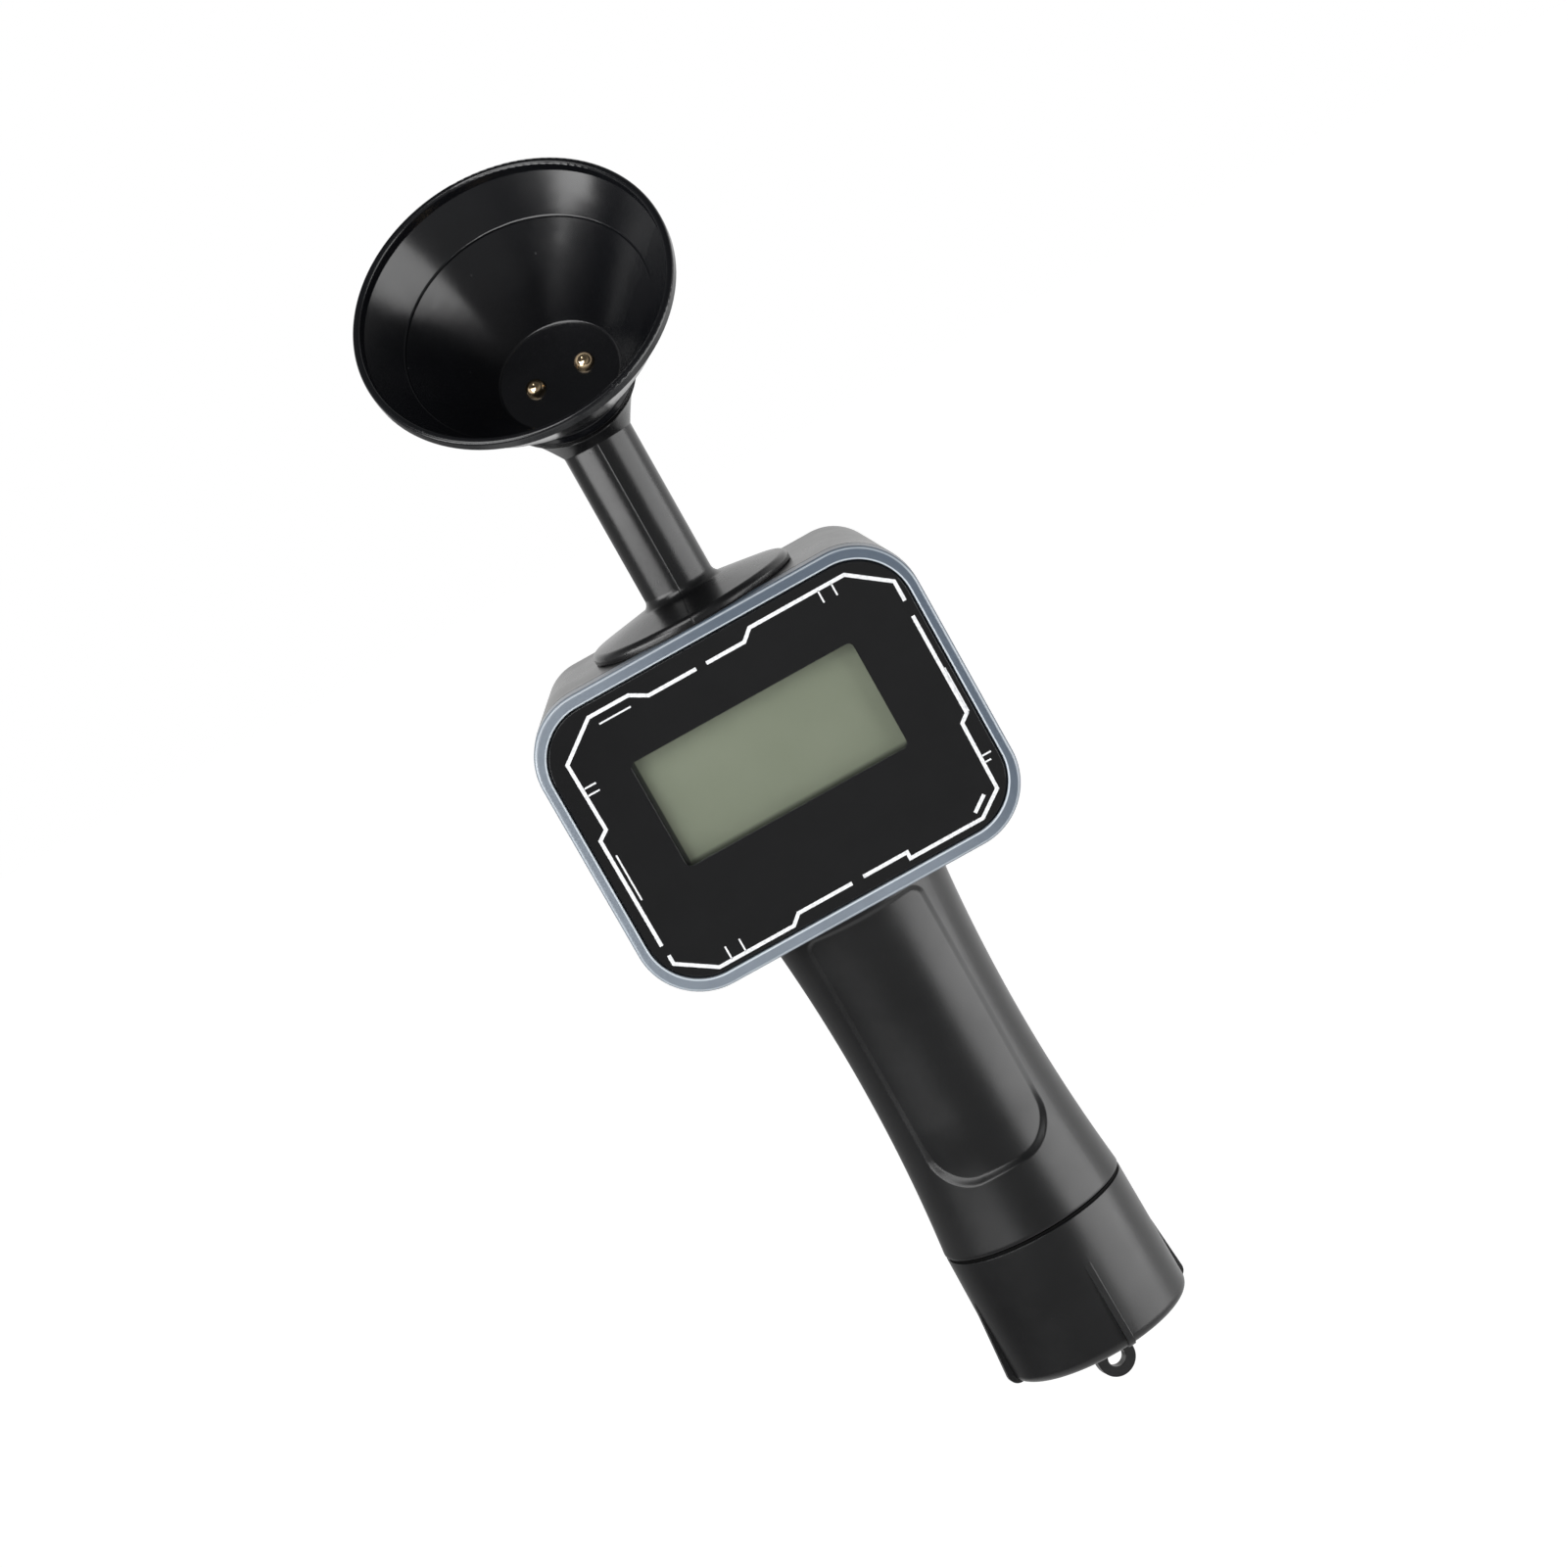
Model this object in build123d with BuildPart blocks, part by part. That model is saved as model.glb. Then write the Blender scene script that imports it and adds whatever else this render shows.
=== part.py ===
# Mastitis detector: a hand-held meter with a milk cup on a neck, a display
# housing, a waisted grip and a screw-on battery cap with a lanyard eye.
# Millimetres. The origin is the centre of the lanyard eye, +Z runs up the
# handle, and the display faces -Y.
import os
from math import cos, hypot, radians, sin, sqrt, tan

from build123d import *

os.makedirs("parts", exist_ok=True)

# Lanyard eye
eye_r = 2.0
lug_r = 4.2
lug_t = 2.8
lug_root = 1.0

# Battery cap
cap_rise = 6.5
cap_len = 29.6
cap_top_r = 20.4
cap_base_r = 20.9
cap_edge_round = 2.2
cap_floor_t = 2.5
cap_bore_r = 17.3
cap_turn = 14.5
rib_count = 4
rib_rise = 19.8
rib_reach = 1.35
rib_w = 1.5
rib_embed = 0.3
pad_t = 1.6
pad_r = 15.0

# Seam between cap and grip
seam_gap = 0.6
seam_inset = 0.5
nose_len = 8.0
nose_r = 18.35
nose_clearance = 0.08
nose_end_gap = 0.6

# Nine volt block battery
battery_w = 26.5
battery_d = 17.5
battery_h = 46.4
battery_corner = 1.2
terminal_pitch = 12.7
terminal_h = 2.0
stud_r = 2.9
socket_r = 3.7
battery_bore_r = 16.0

# Snap connector on the battery
snap_w = 25.0
snap_d = 12.5
snap_t = 4.4
snap_gap = 0.15
snap_bore_r = 14.2
snap_room = 5.0

# Grip
grip_len = 76.9
waist_rise = 41.8
waist_r = 18.05
grip_flare = 2.47
grip_core_r = 13.5
grip_head_t = 11.6
grip_head_r = 10.5
spigot_r = 12.4
spigot_len = 4.5
fit_gap = 0.1
panel_w = 27.0
panel_rise = 14.5
panel_drop = 3.4
panel_low_round = 7.4
panel_high_round = 1.9
panel_depth = 1.2
panel_draft = 20.0
panel_step_round = 0.55

# Display housing
body_w = 85.3
body_h = 66.7
body_corner = 14.0
front_reach = 23.6
body_depth = 48.6
body_wall = 2.5
back_taper = 4.65
back_corner_drop = 4.1
back_round = 4.0

# Bezel
bezel_t = 5.5
bezel_side = 2.25
bezel_top = 2.7
bezel_edge_round = 0.9
bezel_lip_round = 0.4
bezel_floor_t = 3.0
tongue_t = 2.0
tongue_len = 4.0
bezel_seal_t = 0.4
bezel_seal_inset = 0.5

# Faceplate, window and display
plate_gap = 0.3
plate_corner = 11.6
plate_t = 2.0
plate_edge = 0.25
window_side = 14.95
window_above = 14.8
window_below = 21.9
window_corner = 1.3
lens_lap = 1.5
lens_t = 1.0
lcd_side_lap = 1.85
lcd_end_lap = 3.0
lcd_t = 2.4
holder_wall = 1.4
holder_ledge = 4.0
strip_end_gap = 5.0
strip_h = 2.2
strip_inset = 0.4

# Main board
board_side_gap = 6.65
board_end_gap = 3.85
board_corner = 3.5
board_t = 1.6
board_behind_front = 11.6
chip_sizes = ((12.0, 12.0, 1.6), (6.0, 5.0, 1.5), (8.0, 4.0, 2.2))
chip_place_shares = ((0.0, 0.0), (-0.26, 0.28), (0.26, -0.28))
capacitor_r = 2.5
capacitor_h = 6.0
capacitor_place_shares = ((-0.26, -0.04), (-0.16, -0.24), (0.26, 0.3))
buzzer_r = 6.0
buzzer_t = 5.0
buzzer_hole_r = 1.0
buzzer_hole_depth = 1.2
buzzer_place_share = 0.3
header_w = 9.0
header_h = 4.5
header_t = 3.5
header_edge = 1.2

# Long housing screws and their posts
post_inset_w = 3.0
post_inset_h = 3.5
post_r = 3.2
boss_r = 3.0
screw_r = 1.4
screw_head_r = 2.7
screw_head_t = 2.0
screw_gap = 0.05
head_gap = 0.2
head_depth = 8.0
screw_bite = 4.0

# Short screws of the neck, the grip and the switch board
small_r = 1.1
small_head_r = 2.1
small_head_t = 1.5
small_bite = 3.0
neck_screw_count = 3
neck_screw_ring = 12.0
grip_screw_count = 4
grip_screw_ring = 15.8
grip_screw_bite = 7.0
drive_r = 0.8
drive_depth = 0.8

# Rear push button and its switch
dimple_r = 11.0
dimple_depth = 1.0
button_r = 6.5
button_gap = 0.08
button_flange_r = 8.0
button_flange_t = 1.0
button_sunk = 0.3
button_round = 0.8
button_stem_r = 2.0
button_stem_len = 2.5
button_travel = 1.0
button_spare = 0.2
plunger_r = 1.7
plunger_len = 1.0
switch_side = 6.2
switch_t = 3.3
switch_board_w = 27.0
switch_board_h = 11.0
switch_board_t = 1.6
switch_post_span = 22.0
switch_post_r = 2.2

# Neck
neck_gasket_t = 0.3
neck_gasket_inset = 0.6
flange_r = 22.5
flange_rim_h = 1.8
flange_rim_round = 1.4
flange_rise = 2.8
flange_root_round = 2.0
stem_r = 7.6
stem_bore_r = 4.5
stem_len = 39.2
collar_rise = 13.8
collar_r = 15.0
collar_t = 0.8
horn_start_drop = 3.8
horn_bore_r = 5.2
collar_bore_inset = 2.4
horn_shares = (0, 0.5, 1)

# Cup, drawn from its foot along its tilted axis
cup_tilt = 48.0
cup_gasket_t = 0.3
cup_gasket_inset = 0.3
cup_depth = 28.5
cup_floor_t = 1.7
rim_r = 33.25
rim_w = 1.5
rim_band_h = 2.2
rim_step = 0.8
rim_round = 0.6
lip_h = 2.2
lip_draft = 0.2
crease_drop = 10.1
crease_inset = 5.65
floor_inset = 2.4
bowl_bulge = 0.15
skin_t = 1.5
foot_h = 2.4

# Electrodes and what holds them under the cup
electrode_pitch = 11.1
electrode_head_r = 2.1
electrode_head_h = 1.6
electrode_shank_r = 1.4
electrode_gap = 0.05
washer_r = 2.8
washer_t = 0.5
terminal_t = 0.4
terminal_reach = 4.4
terminal_tongue_w = 2.0
nut_flats = 4.6
nut_t = 2.0
thread_end = 0.8

# Leads
lead_r = 0.6
lead_pair = 2.6
lead_bend_r = 4.0
tongue_hold = 0.8
neck_lead_drop = 4.0
neck_lead_join = 3.8
snap_lead_pair = 8.0
snap_lead_rise = 8.0
snap_lead_join = 28.0
switch_lead_pair = 4.0
switch_lead_sag = 4.0
switch_lead_run = 5.0
switch_lead_bend_r = 4.5

# Every cut runs this far past the face it starts from
overrun = 1.0

# Places worked out from the sizes above
cap_base_z = cap_rise
cap_top_z = cap_base_z + cap_len
cap_floor_z = cap_base_z + cap_floor_t
battery_z = cap_floor_z + pad_t
battery_top_z = battery_z + battery_h
grip_base_z = cap_top_z + seam_gap
nose_z = grip_base_z - nose_len
waist_z = grip_base_z + waist_rise
bow_r = (waist_rise**2 + grip_flare**2) / (2 * grip_flare)
snap_z = battery_top_z + snap_gap
snap_top_z = snap_z + snap_t
core_z = battery_top_z + terminal_h + snap_t + snap_room
body_base_z = grip_base_z + grip_len
body_mid_z = body_base_z + body_h / 2
body_top_z = body_base_z + body_h
spigot_top_z = body_base_z + spigot_len
head_z = body_base_z - grip_head_t

front_y = -front_reach
back_y = front_y + body_depth
bezel_back_y = front_y + bezel_t
shell_front_y = bezel_back_y + bezel_seal_t
bezel_floor_y = bezel_back_y - bezel_floor_t
lens_back_y = bezel_floor_y + lens_t
lcd_back_y = lens_back_y + lcd_t
board_front_y = front_y + board_behind_front
board_back_y = board_front_y + board_t
header_back_y = board_back_y + header_t
inner_back_y = back_y - body_wall

inner_w = body_w - 2 * body_wall
inner_h = body_h - 2 * body_wall
inner_corner = body_corner - body_wall
back_w = body_w - 2 * back_taper
back_corner = body_corner - back_corner_drop
shell_draft = back_taper / (back_y - shell_front_y)
tongue_gap = fit_gap + shell_draft * tongue_len
bezel_open_w = body_w - 2 * bezel_side
bezel_open_h = body_h - 2 * bezel_top
plate_w = bezel_open_w - 2 * plate_gap
plate_h = bezel_open_h - 2 * plate_gap
window_w = plate_w - 2 * window_side
window_h = plate_h - window_above - window_below
window_rise = (window_below - window_above) / 2
lcd_w = window_w + 2 * lcd_side_lap
lcd_h = window_h + 2 * lcd_end_lap
strip_w = lcd_w - 2 * strip_end_gap
holder_w = lcd_w + 2 * (fit_gap + holder_wall)
holder_h = lcd_h + 2 * (fit_gap + holder_wall)
board_w = inner_w - 2 * board_side_gap
board_h = inner_h - 2 * board_end_gap
post_span_w = board_w - 2 * post_inset_w
post_span_h = board_h - 2 * post_inset_h

shell_head_z = body_base_z + body_wall
flange_z = body_top_z + neck_gasket_t
horn_z = flange_z + stem_len
seam_z = horn_z + collar_rise

mouth_r = rim_r - rim_w
crease_r = mouth_r - crease_inset
floor_r = collar_r - floor_inset
collar_bore_r = collar_r - collar_bore_inset
cup_foot = cup_gasket_t
cup_floor = cup_foot + cup_floor_t
cup_mouth = cup_floor + cup_depth
cup_crease = cup_mouth - crease_drop

cup_axis_y = -sin(radians(cup_tilt))
cup_axis_z = cos(radians(cup_tilt))
cup_axis = Axis((0, 0, seam_z), (0, cup_axis_y, cup_axis_z))


def body_plane(y):
    """Plane facing the viewer at depth y, centred on the housing."""
    return Plane(origin=(0, y, body_mid_z), x_dir=(1, 0, 0), z_dir=(0, -1, 0))


def back_plane(y):
    """Plane facing the rear at depth y, centred on the housing."""
    return Plane(origin=(0, y, body_mid_z), x_dir=(-1, 0, 0), z_dir=(0, 1, 0))


def cup_level(height):
    """Plane square to the cup's axis, this far above the collar."""
    origin = (0, cup_axis_y * height, seam_z + cup_axis_z * height)
    return Plane(origin=origin, x_dir=(1, 0, 0), z_dir=(0, cup_axis_y, cup_axis_z))


# Plane through the cup's axis: radius across, height above the collar up
cup_side = Plane(
    origin=(0, 0, seam_z),
    x_dir=(1, 0, 0),
    z_dir=(0, -cup_axis_z, cup_axis_y),
)


def horn_level(share, low_z, high_z):
    """Plane this share of the way up the horn, tilted by the same share."""
    tilt = radians(cup_tilt * share)
    origin = (0, 0, low_z + (high_z - low_z) * share)
    return Plane(origin=origin, x_dir=(1, 0, 0), z_dir=(0, -sin(tilt), cos(tilt)))


def cup_point(across, height):
    """Point in the upright plane x = across, on the cup's axis at this height."""
    return Vector(across, cup_axis_y * height, seam_z + cup_axis_z * height)


def grip_radius(z):
    """Outer radius of the waisted grip at height z."""
    return waist_r + bow_r - sqrt(bow_r**2 - (z - waist_z) ** 2)


def pan_head_screw(plane, shank_r, shank_len, head_r, head_t):
    """Screw with its head on the plane and its shank going down from it."""
    with BuildPart(mode=Mode.PRIVATE) as screw:
        with BuildSketch(plane):
            Circle(head_r)
        extrude(amount=head_t)
        fillet(screw.faces().sort_by(Axis(plane.origin, plane.z_dir))[-1].edges(), head_t / 3)
        with BuildSketch(plane):
            Circle(shank_r)
        extrude(amount=-shank_len)
        with BuildSketch(plane.offset(head_t)):
            RegularPolygon(drive_r, 6)
        extrude(amount=-drive_depth, mode=Mode.SUBTRACT)
    return screw.part


def lead(points, radii):
    """Round lead along straight runs joined by tangent arcs."""
    with BuildPart(mode=Mode.PRIVATE) as tube:
        with BuildLine() as route:
            FilletPolyline(*points, radius=radii)
        with BuildSketch(Plane(origin=route.line @ 0, z_dir=route.line % 0)):
            Circle(lead_r)
        sweep(path=route.line)
    return tube.part


# Cup: bowl with a rolled rim band, a lip, a crease, a flat floor and a foot
outer_crease_r = crease_r + skin_t
rim_low = cup_mouth - rim_band_h
bowl_mid_r = (floor_r + crease_r) / 2 + bowl_bulge
bowl_mid = (cup_floor + cup_crease) / 2 - bowl_bulge / 2
bowl_back_r = (collar_r + outer_crease_r) / 2 + bowl_bulge
bowl_back = (cup_foot + foot_h + cup_crease - skin_t / 2) / 2 - bowl_bulge / 2
with BuildPart() as cup:
    with BuildSketch(cup_side):
        with BuildLine():
            Polyline(
                (0, cup_foot),
                (collar_r, cup_foot),
                (collar_r, cup_foot + foot_h),
            )
            ThreePointArc(
                (collar_r, cup_foot + foot_h),
                (bowl_back_r, bowl_back),
                (outer_crease_r, cup_crease - skin_t / 2),
            )
            Polyline(
                (outer_crease_r, cup_crease - skin_t / 2),
                (rim_r - rim_step, rim_low - rim_step / 2),
                (rim_r, rim_low),
                (rim_r, cup_mouth),
                (mouth_r, cup_mouth),
                (mouth_r - lip_draft, cup_mouth - lip_h),
                (crease_r, cup_crease),
            )
            ThreePointArc((crease_r, cup_crease), (bowl_mid_r, bowl_mid), (floor_r, cup_floor))
            Polyline((floor_r, cup_floor), (0, cup_floor), (0, cup_foot))
        make_face()
    revolve(axis=cup_axis)
    fillet(cup.faces().sort_by(cup_axis)[-1].edges(), rim_round)
    with BuildSketch(cup_level(cup_floor)):
        with GridLocations(electrode_pitch, 0, 2, 1):
            Circle(electrode_shank_r + electrode_gap)
    extrude(amount=-cup_floor_t - overrun, mode=Mode.SUBTRACT)
cup.part.label = "cup"
export_step(cup.part, "parts/cup.step")

# Gasket ring between the cup's foot and the collar
with BuildPart() as cup_gasket:
    with BuildSketch(cup_level(0)):
        Circle(collar_r - cup_gasket_inset)
        Circle(collar_bore_r, mode=Mode.SUBTRACT)
    extrude(amount=cup_gasket_t)
cup_gasket.part.label = "cup_gasket"
export_step(cup_gasket.part, "parts/cup_gasket.step")

# Electrodes: domed heads on the cup's floor, shanks through it
shank_len = cup_floor_t + washer_t + terminal_t + nut_t + thread_end


def electrode(side):
    """Domed stud to the left (-1) or right (+1) of the cup's axis."""
    foot = cup_level(cup_floor - shank_len)
    head = cup_level(cup_floor)
    across = side * electrode_pitch / 2
    side_plane = Plane(
        origin=cup_point(across, cup_floor), x_dir=(1, 0, 0), z_dir=cup_side.z_dir
    )
    with BuildPart(mode=Mode.PRIVATE) as stud:
        with BuildSketch(side_plane):
            with BuildLine():
                ThreePointArc(
                    (0, electrode_head_h),
                    (electrode_head_r * sin(radians(45)), electrode_head_h * sin(radians(60))),
                    (electrode_head_r, 0),
                )
                Polyline(
                    (electrode_head_r, 0),
                    (electrode_shank_r, 0),
                    (electrode_shank_r, -shank_len),
                    (0, -shank_len),
                    (0, electrode_head_h),
                )
            make_face()
        revolve(axis=Axis(side_plane.origin, cup_axis.direction))
    return stud.part


with BuildPart() as electrode_left:
    add(electrode(-1))
electrode_left.part.label = "electrode_left"
export_step(electrode_left.part, "parts/electrode_left.step")

with BuildPart() as electrode_right:
    add(electrode(1))
electrode_right.part.label = "electrode_right"
export_step(electrode_right.part, "parts/electrode_right.step")

# Washers, ring terminals and nuts under the cup's floor
washer_face = cup_foot
terminal_face = washer_face - washer_t
nut_face = terminal_face - terminal_t
with BuildPart() as electrode_washers:
    with BuildSketch(cup_level(washer_face)):
        with GridLocations(electrode_pitch, 0, 2, 1):
            Circle(washer_r)
            Circle(electrode_shank_r + electrode_gap, mode=Mode.SUBTRACT)
    extrude(amount=-washer_t)
electrode_washers.part.label = "electrode_washers"
export_step(electrode_washers.part, "parts/electrode_washers.step")

with BuildPart() as ring_terminals:
    for side in (-1, 1):
        with BuildSketch(cup_level(terminal_face)):
            with Locations((side * electrode_pitch / 2, 0)):
                Circle(washer_r)
            with Locations((side * (electrode_pitch - terminal_reach) / 2, 0)):
                Rectangle(terminal_reach, terminal_tongue_w)
            with Locations((side * electrode_pitch / 2, 0)):
                Circle(electrode_shank_r + electrode_gap, mode=Mode.SUBTRACT)
        extrude(amount=-terminal_t)
ring_terminals.part.label = "ring_terminals"
export_step(ring_terminals.part, "parts/ring_terminals.step")

with BuildPart() as electrode_nuts:
    with BuildSketch(cup_level(nut_face)):
        with GridLocations(electrode_pitch, 0, 2, 1):
            RegularPolygon(nut_flats / 2, 6, major_radius=False)
            Circle(electrode_shank_r + electrode_gap, mode=Mode.SUBTRACT)
    extrude(amount=-nut_t)
electrode_nuts.part.label = "electrode_nuts"
export_step(electrode_nuts.part, "parts/electrode_nuts.step")

# Neck: trumpet flange, round stem and a horn that opens into the tilted collar
with BuildPart() as neck:
    with BuildSketch(Plane.XZ):
        with BuildLine():
            Polyline(
                (0, flange_z),
                (flange_r, flange_z),
                (flange_r, flange_z + flange_rim_h),
                (stem_r, flange_z + flange_rim_h + flange_rise),
                (stem_r, horn_z),
                (0, horn_z),
                close=True,
            )
        flange_face = make_face()
        rim_corner = flange_face.vertices().group_by(Axis.X)[-1].sort_by(Axis.Y)[-1]
        fillet(rim_corner, flange_rim_round)
    revolve(axis=Axis.Z)
    root_edges = [
        edge
        for edge in neck.edges().filter_by(GeomType.CIRCLE)
        if abs(edge.radius - stem_r) < fit_gap and edge.center().Z < horn_z - collar_rise
    ]
    fillet(root_edges, flange_root_round)
    for share in horn_shares:
        with BuildSketch(horn_level(share, horn_z, seam_z - collar_t)):
            Circle(stem_r + (collar_r - stem_r) * share)
    loft()
    with BuildSketch(cup_level(-collar_t)):
        Circle(collar_r)
    extrude(amount=collar_t)
    for share in horn_shares:
        with BuildSketch(horn_level(share, horn_z - horn_start_drop, seam_z)):
            Circle(horn_bore_r + (collar_bore_r - horn_bore_r) * share)
    loft(mode=Mode.SUBTRACT)
    with BuildSketch(Plane.XY.offset(flange_z)):
        Circle(stem_bore_r)
    extrude(amount=stem_len - horn_start_drop + overrun, mode=Mode.SUBTRACT)
    with BuildSketch(Plane.XY.offset(flange_z)):
        with PolarLocations(neck_screw_ring, neck_screw_count, start_angle=90):
            Circle(small_r + screw_gap)
    extrude(amount=small_bite, mode=Mode.SUBTRACT)
neck.part.label = "neck"
export_step(neck.part, "parts/neck.step")

# Gasket under the flange
with BuildPart() as neck_gasket:
    with BuildSketch(Plane.XY.offset(body_top_z)):
        Circle(flange_r - neck_gasket_inset)
        Circle(stem_bore_r, mode=Mode.SUBTRACT)
        with PolarLocations(neck_screw_ring, neck_screw_count, start_angle=90):
            Circle(small_r + screw_gap, mode=Mode.SUBTRACT)
    extrude(amount=neck_gasket_t)
neck_gasket.part.label = "neck_gasket"
export_step(neck_gasket.part, "parts/neck_gasket.step")

# Screws from inside the housing up into the flange
neck_screw_len = body_wall + neck_gasket_t + small_bite - head_gap
neck_screw = pan_head_screw(
    Plane(origin=(0, 0, body_top_z - body_wall), x_dir=(1, 0, 0), z_dir=(0, 0, -1)),
    small_r,
    neck_screw_len,
    small_head_r,
    small_head_t,
)
with BuildPart() as neck_screws:
    with PolarLocations(neck_screw_ring, neck_screw_count, start_angle=90):
        add(neck_screw)
neck_screws.part.label = "neck_screws"
export_step(neck_screws.part, "parts/neck_screws.step")

# Rear shell: rounded box that narrows to the back, with posts and openings
post_front_y = board_back_y
with BuildPart() as rear_shell:
    with BuildSketch(body_plane(back_y)):
        RectangleRounded(back_w, body_h, back_corner)
    with BuildSketch(body_plane(shell_front_y)):
        RectangleRounded(body_w, body_h, body_corner)
    loft(ruled=True)
    fillet(rear_shell.faces().sort_by(Axis.Y)[-1].edges(), back_round)
    with BuildSketch(body_plane(inner_back_y)):
        RectangleRounded(back_w - 2 * body_wall, inner_h, back_corner - body_wall)
    with BuildSketch(body_plane(shell_front_y - overrun)):
        RectangleRounded(inner_w, inner_h, inner_corner)
    loft(ruled=True, mode=Mode.SUBTRACT)
    # Posts for the long screws, and short posts for the switch board
    with BuildSketch(body_plane(inner_back_y)):
        with GridLocations(post_span_w, post_span_h, 2, 2):
            Circle(post_r)
    extrude(amount=inner_back_y - post_front_y)
    with BuildSketch(body_plane(inner_back_y)):
        with GridLocations(switch_post_span, 0, 2, 1):
            Circle(switch_post_r)
    switch_post_len = button_stem_len + button_flange_t + button_travel + button_spare
    extrude(amount=switch_post_len + plunger_len + switch_t)
    # Screw ways, with the heads sunk in the back
    with BuildSketch(back_plane(back_y)):
        with GridLocations(post_span_w, post_span_h, 2, 2):
            Circle(screw_head_r + head_gap)
    extrude(amount=-head_depth, mode=Mode.SUBTRACT)
    with BuildSketch(back_plane(back_y)):
        with GridLocations(post_span_w, post_span_h, 2, 2):
            Circle(screw_r + screw_gap)
    extrude(amount=-body_depth, mode=Mode.SUBTRACT)
    with BuildSketch(body_plane(inner_back_y - switch_post_len - plunger_len - switch_t)):
        with GridLocations(switch_post_span, 0, 2, 1):
            Circle(small_r + screw_gap)
    extrude(amount=-small_bite, mode=Mode.SUBTRACT)
    # Dimple and hole of the push button
    with BuildSketch(back_plane(back_y)):
        Circle(dimple_r)
    extrude(amount=-dimple_depth, mode=Mode.SUBTRACT)
    with BuildSketch(back_plane(back_y)):
        Circle(button_r + button_gap)
    extrude(amount=-body_wall - overrun, mode=Mode.SUBTRACT)
    # Top and bottom openings with their screw holes
    with BuildSketch(Plane.XY.offset(body_top_z)):
        Circle(stem_bore_r)
        with PolarLocations(neck_screw_ring, neck_screw_count, start_angle=90):
            Circle(small_r + screw_gap)
    extrude(amount=-body_wall - overrun, mode=Mode.SUBTRACT)
    with BuildSketch(Plane.XY.offset(body_base_z)):
        Circle(spigot_r + fit_gap)
        with PolarLocations(grip_screw_ring, grip_screw_count, start_angle=45):
            Circle(small_r + screw_gap)
    extrude(amount=body_wall + overrun, mode=Mode.SUBTRACT)
rear_shell.part.label = "rear_shell"
export_step(rear_shell.part, "parts/rear_shell.step")

# Bezel: front frame with a floor for the faceplate, a tongue and bosses
with BuildPart() as bezel:
    with BuildSketch(body_plane(bezel_back_y)):
        RectangleRounded(body_w, body_h, body_corner)
    extrude(amount=bezel_t)
    with BuildSketch(body_plane(front_y)):
        RectangleRounded(bezel_open_w, bezel_open_h, plate_corner + plate_gap)
    extrude(amount=-(bezel_t - bezel_floor_t), mode=Mode.SUBTRACT)
    front_edges = bezel.faces().sort_by(Axis.Y)[0]
    fillet(front_edges.outer_wire().edges(), bezel_edge_round)
    fillet(bezel.faces().sort_by(Axis.Y)[0].inner_wires()[0].edges(), bezel_lip_round)
    with BuildSketch(body_plane(bezel_back_y)):
        RectangleRounded(
            inner_w - 2 * tongue_gap, inner_h - 2 * tongue_gap, inner_corner - tongue_gap
        )
        RectangleRounded(
            inner_w - 2 * (tongue_gap + tongue_t),
            inner_h - 2 * (tongue_gap + tongue_t),
            inner_corner - tongue_gap - tongue_t,
            mode=Mode.SUBTRACT,
        )
    extrude(amount=-tongue_len)
    with BuildSketch(body_plane(bezel_back_y)):
        with GridLocations(post_span_w, post_span_h, 2, 2):
            Circle(boss_r)
    extrude(amount=-(board_front_y - bezel_back_y))
    with BuildSketch(body_plane(bezel_floor_y)):
        with Locations((0, window_rise)):
            Rectangle(holder_w + 2 * fit_gap, holder_h + 2 * fit_gap)
    extrude(amount=-bezel_floor_t - overrun, mode=Mode.SUBTRACT)
    with BuildSketch(body_plane(board_front_y)):
        with GridLocations(post_span_w, post_span_h, 2, 2):
            Circle(screw_r + screw_gap)
    extrude(amount=screw_bite + fit_gap, mode=Mode.SUBTRACT)
bezel.part.label = "bezel"
export_step(bezel.part, "parts/bezel.step")

# Seal between bezel and rear shell
seal_w = body_w - 2 * bezel_seal_inset
seal_h = body_h - 2 * bezel_seal_inset
with BuildPart() as bezel_seal:
    with BuildSketch(body_plane(shell_front_y)):
        RectangleRounded(seal_w, seal_h, body_corner - bezel_seal_inset)
        RectangleRounded(inner_w, inner_h, inner_corner, mode=Mode.SUBTRACT)
    extrude(amount=bezel_seal_t)
bezel_seal.part.label = "bezel_seal"
export_step(bezel_seal.part, "parts/bezel_seal.step")

# Faceplate with the window opening
with BuildPart() as faceplate:
    with BuildSketch(body_plane(bezel_floor_y)):
        RectangleRounded(plate_w, plate_h, plate_corner)
    extrude(amount=plate_t)
    chamfer(faceplate.faces().sort_by(Axis.Y)[0].edges(), plate_edge)
    with BuildSketch(body_plane(bezel_floor_y)):
        with Locations((0, window_rise)):
            RectangleRounded(window_w, window_h, window_corner)
    extrude(amount=plate_t, mode=Mode.SUBTRACT)
faceplate.part.label = "faceplate"
export_step(faceplate.part, "parts/faceplate.step")

# Clear lens behind the window
with BuildPart() as window_lens:
    with BuildSketch(body_plane(lens_back_y)):
        with Locations((0, window_rise)):
            RectangleRounded(
                window_w + 2 * lens_lap, window_h + 2 * lens_lap, window_corner + lens_lap
            )
    extrude(amount=lens_t)
window_lens.part.label = "window_lens"
export_step(window_lens.part, "parts/window_lens.step")

# Display glass
with BuildPart() as lcd_panel:
    with BuildSketch(body_plane(lcd_back_y)):
        with Locations((0, window_rise)):
            Rectangle(lcd_w, lcd_h)
    extrude(amount=lcd_t)
lcd_panel.part.label = "lcd_panel"
export_step(lcd_panel.part, "parts/lcd_panel.step")

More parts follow.
